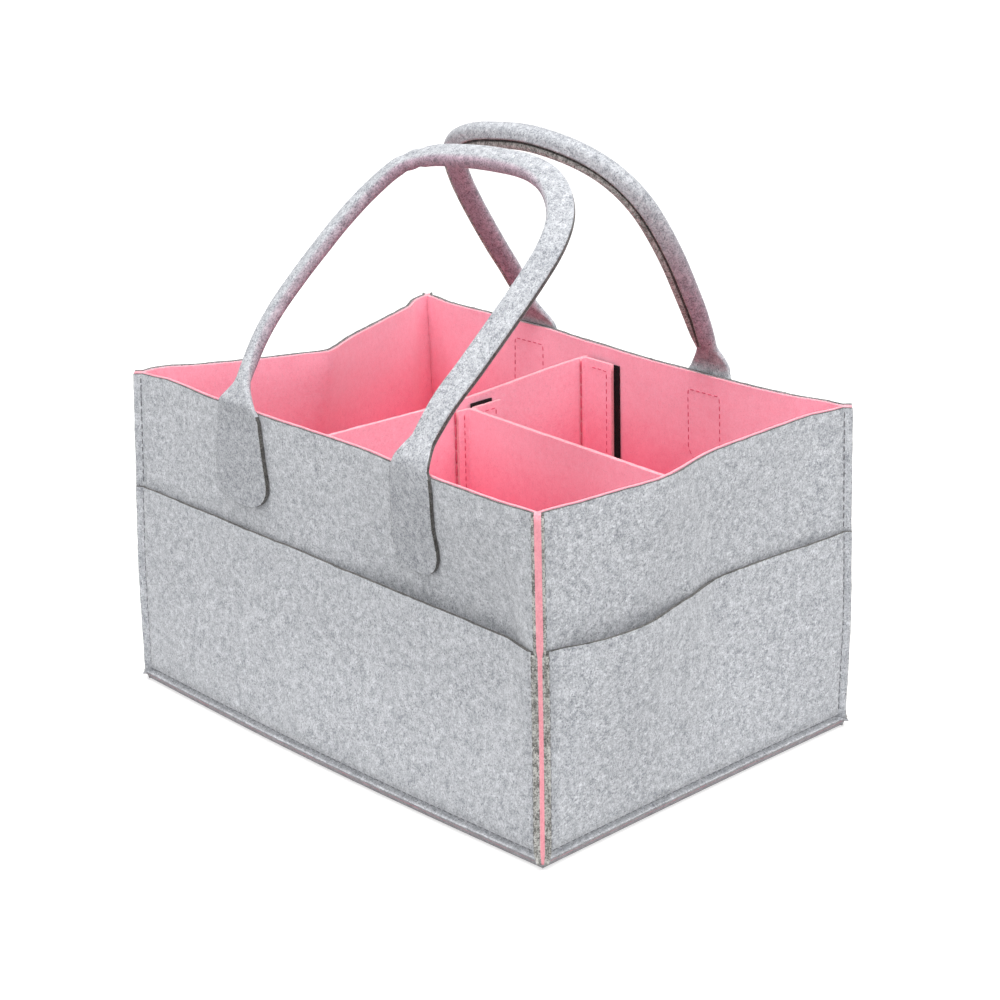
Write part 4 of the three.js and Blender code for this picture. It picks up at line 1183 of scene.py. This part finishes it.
# Tapes: where they begin and end from a fold and a free edge, and from a foot and a top
TAPE_POINTS, TAPE_FROM, TAPE_PAST, TAPE_RISE, TAPE_DROP = 9, 3.0, 3.6, 6.0, 1.0
INNER_TAPE_FROM, INNER_TAPE_SHORT, INNER_TAPE_PAST = 1.0, 4.5, 1.6
for side, wall_y, inward in (("front", CROSS_FRONT, 1), ("back", CROSS_BACK, -1)):
    flap_y = wall_y + inward * (TAPE + GAP + FLAP / 2)
    fold_x = cross_middle(wall_y) + PANEL / 2 + GAP
    top, body, node = float(cross_top(wall_y)), f"cross_{side}_flap", f"cross_divider_{side}"
    fold_shade_line("cross_divider", (fold_x + FOLD_OUT, flap_y + inward * FOLD_PAST),
              FLAP_BOTTOM + FOLD_RISE, top - FOLD_DROP, (1, inward, 0), radius=0.45)
    flap(f"{node}_flap", body, 67.0, "cross_divider", (fold_x, flap_y), ((1, 0), (0, inward)),
         END_FLAP, top, **CROSS_FLAP)
    tape_x = np.linspace(fold_x + TAPE_FROM, fold_x + END_FLAP + TAPE_PAST, TAPE_POINTS)
    tape = np.stack([tape_x, np.full_like(tape_x, wall_y + inward * TAPE / 2)], 1)
    upright(f"{node}_hook_tape", tape, TAPE, FLAP_BOTTOM + TAPE_RISE, top - TAPE_DROP,
            f"{node}_hook_strip", body, 68.0, HOOK_SHEET)

cross_face = CROSS_X + CROSS_BOW + PANEL / 2
tape_x = cross_face + GAP + TAPE / 2
inner_x, outer_x = tape_x + TAPE / 2 + GAP + FLAP / 2, LONG_END_X - TAPE - GAP - FLAP / 2
inner_y, outer_y = LONG_START_Y + PANEL / 2 + GAP, LONG_END_Y - PANEL / 2 - GAP

# The lip folded along the cross divider: how far its foot, fold and middle stand back, and
# where its stitches and the dark thread along its edge, painted shadow for the gap there, lie
LIP_BACK, LIP_FOLD_BACK, LIP_MIDDLE_BACK, LIP_SEAM_SHARE, LIP_SEAM_DROP = 1.2, 0.3, 0.75, 0.56, 2.5
EDGE_OUT, EDGE_PAST, EDGE_DROP = 0.6, 0.5, 0.6
lip_y = LONG_START_Y - LONG_LIP
long_plan = rounded([(inner_x - LIP_BACK, lip_y), (inner_x - LIP_FOLD_BACK, LONG_START_Y),
                     (LONG_END_X, LONG_END_Y)], LONG_BEND)
upright("long_divider_felt", long_plan, PANEL, PANEL_BOTTOM, LONG_TOP, "long_divider_panel",
        "long_divider", 71.0)
lip = (inner_x - LIP_MIDDLE_BACK + PANEL / 2, LONG_START_Y - LIP_SEAM_SHARE * LONG_LIP)
add_seam("long_divider", [(*lip, PANEL_BOTTOM + STITCH_RISE), (*lip, LONG_TOP - LIP_SEAM_DROP)], (1, 0, 0))
fold_shade_line("long_divider", (cross_face + EDGE_OUT, lip_y - EDGE_PAST), PANEL_BOTTOM,
          LONG_TOP - EDGE_DROP, (1, -1, 0), radius=0.5)
flap("long_divider_inner_tab", "long_inner_tab", 73.0, "long_divider", (inner_x, inner_y),
     ((0, 1), (1, 0)), INNER_TAB, LONG_TOP, **LONG_TAB)
tape_y = inner_y + np.linspace(INNER_TAPE_FROM, INNER_TAB - INNER_TAPE_SHORT, TAPE_POINTS)
tape = np.stack([np.full_like(tape_y, tape_x), tape_y], 1)
upright("long_divider_inner_hook_tape", tape, TAPE, FLAP_BOTTOM + TAPE_RISE, LONG_TOP + INNER_TAPE_PAST,
        "long_divider_inner_hook_strip", "long_inner_tab", 81.0, HOOK_SHEET)
flap("long_divider_outer_tab", "long_outer_tab", 79.0, "long_divider", (outer_x, outer_y),
     ((0, -1), (-1, 0)), OUTER_TAB, LONG_TOP, **LONG_TAB)

# Each divider body's stitches, with the dark fold lines that are painted shadow
for body, lines in pink_lines.items():
    sew(f"{body}_stitches", lines, PINK_THREAD, body, "pink_felt")

# The seams that hold the handle tabs, as they show on the lining: the tabs' middles, half
# of a seam's width, its heights, and how far its foot's corners are cut off
TAB_SEAMS = {"back": (-70.0, 72.0), "front": (-66.5, 70.5)}
TAB_SEAM_HALF, TAB_SEAM_TOP, TAB_SEAM_SIDE, TAB_SEAM_FOOT, TAB_SEAM_CUT = 11.5, 170.0, 136.0, 129.0, 5.0
tab_lines = []
for side, centres in TAB_SEAMS.items():
    sheet = SHEETS[side]
    first_x = corner_place(sheet.wall.ends[0])[0]
    for x in centres:
        a, b = sorted(abs(x + shift - first_x) for shift in (-TAB_SEAM_HALF, TAB_SEAM_HALF))
        path = [(a, TAB_SEAM_SIDE), (a, TAB_SEAM_TOP), (b, TAB_SEAM_TOP), (b, TAB_SEAM_SIDE),
                (b - TAB_SEAM_CUT, TAB_SEAM_FOOT), (a + TAB_SEAM_CUT, TAB_SEAM_FOOT), (a, TAB_SEAM_SIDE)]
        tab_lines.append(seam(on_sheet(sheet, path, LINING_NEAR)[0], -sheet.wall.out))
sew("handle_tab_stitches_on_lining", tab_lines, PINK_THREAD, "caddy", "pink_felt")

for name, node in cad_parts.items():
    if name.endswith("hook_strip"):
        node.data.materials.clear()
        node.data.materials.append(HOOKS)


# Camera

CLIP_NEAR, CLIP_FAR, SENSOR_WIDTH = 0.05, 50.0, 36.0


def look(location, azimuth, elevation, roll, lens):
    az, el, tilt = (math.radians(v) for v in (azimuth, elevation, roll))
    forward = Vector((-math.sin(az) * math.cos(el), math.cos(az) * math.cos(el), -math.sin(el)))
    right = forward.cross(Vector((0, 0, 1))).normalized()
    up = right.cross(forward)
    x = right * math.cos(tilt) + up * math.sin(tilt)
    y = up * math.cos(tilt) - right * math.sin(tilt)
    turn = Matrix((x, y, -forward)).transposed().to_4x4()
    camera = bpy.data.objects.new("camera", bpy.data.cameras.new("camera"))
    bpy.context.scene.collection.objects.link(camera)
    camera.matrix_world = Matrix.Translation(location) @ turn
    camera.data.sensor_width = SENSOR_WIDTH
    camera.data.lens = lens
    camera.data.clip_start, camera.data.clip_end = CLIP_NEAR, CLIP_FAR
    bpy.context.scene.camera = camera


look((0.9770, -0.8879, 0.5883), azimuth=47.30, elevation=19.64, roll=-1.22, lens=93.07)


# Studio: soft lamps, a white world, and a pale floor that keeps the shadow

AIM = (0, 0, 0.12)


def lamp(name, location, size, power):
    light = bpy.data.lights.new(name, "AREA")
    light.shape, light.size, light.energy = "DISK", size, power
    holder = bpy.data.objects.new(name, light)
    holder.location = location
    holder.rotation_euler = (Vector(AIM) - Vector(location)).to_track_quat("-Z", "Y").to_euler()
    bpy.context.scene.collection.objects.link(holder)


lamp("key", (0.5, -2.2, 2.4), 2.2, 28.0)
lamp("fill", (2.3, 0.4, 1.8), 2.0, 23.0)
lamp("top", (0.3, -0.3, 2.8), 1.6, 70.0)

# How strongly the world lights the caddy and shows itself, and the floor's grey and its
# glow to the camera
WORLD_LIGHT, WORLD_SEEN, FLOOR_GREY, FLOOR_GLOW = 0.72, 1.0, 0.55, 0.55
WHITE = (1, 1, 1, 1)


def fresh_nodes(owner):
    """A node tree of a world or a material, emptied."""
    owner.use_nodes = True
    owner.node_tree.nodes.clear()
    return Tree(owner.node_tree)


world = bpy.data.worlds.new("studio")
bpy.context.scene.world = world
t = fresh_nodes(world)
rays = t.node("ShaderNodeLightPath")
seen = t.math("MAXIMUM", rays.outputs["Is Camera Ray"],
              t.math("MAXIMUM", rays.outputs["Is Glossy Ray"], rays.outputs["Is Transmission Ray"]))
soft = t.node("ShaderNodeBackground", {"Color": WHITE, "Strength": WORLD_LIGHT})
white = t.node("ShaderNodeBackground", {"Color": WHITE, "Strength": WORLD_SEEN})
both = t.node("ShaderNodeMixShader", {0: seen, 1: soft.outputs[0], 2: white.outputs[0]})
t.node("ShaderNodeOutputWorld", {"Surface": both.outputs[0]})

floor_material = bpy.data.materials.new("studio_floor")
t = fresh_nodes(floor_material)
rays = t.node("ShaderNodeLightPath")
pale = t.node("ShaderNodeBsdfDiffuse", {"Color": (FLOOR_GREY, FLOOR_GREY, FLOOR_GREY, 1)})
glow_strength = t.math("MULTIPLY", rays.outputs["Is Camera Ray"], FLOOR_GLOW)
glow = t.node("ShaderNodeEmission", {"Color": WHITE, "Strength": glow_strength})
both = t.node("ShaderNodeAddShader", {0: pale.outputs[0], 1: glow.outputs[0]})
t.node("ShaderNodeOutputMaterial", {"Surface": both.outputs[0]})

# The floor lies a little under the caddy
FLOOR_HALF, FLOOR_Z = 6000.0, -0.2
corners = [(x * FLOOR_HALF, y * FLOOR_HALF, FLOOR_Z) for x, y in ((-1, -1), (1, -1), (1, 1), (-1, 1))]
add_mesh("studio_floor", corners, [(0, 1, 2, 3)], [floor_material])

bpy.context.scene.view_settings.view_transform = "Standard"
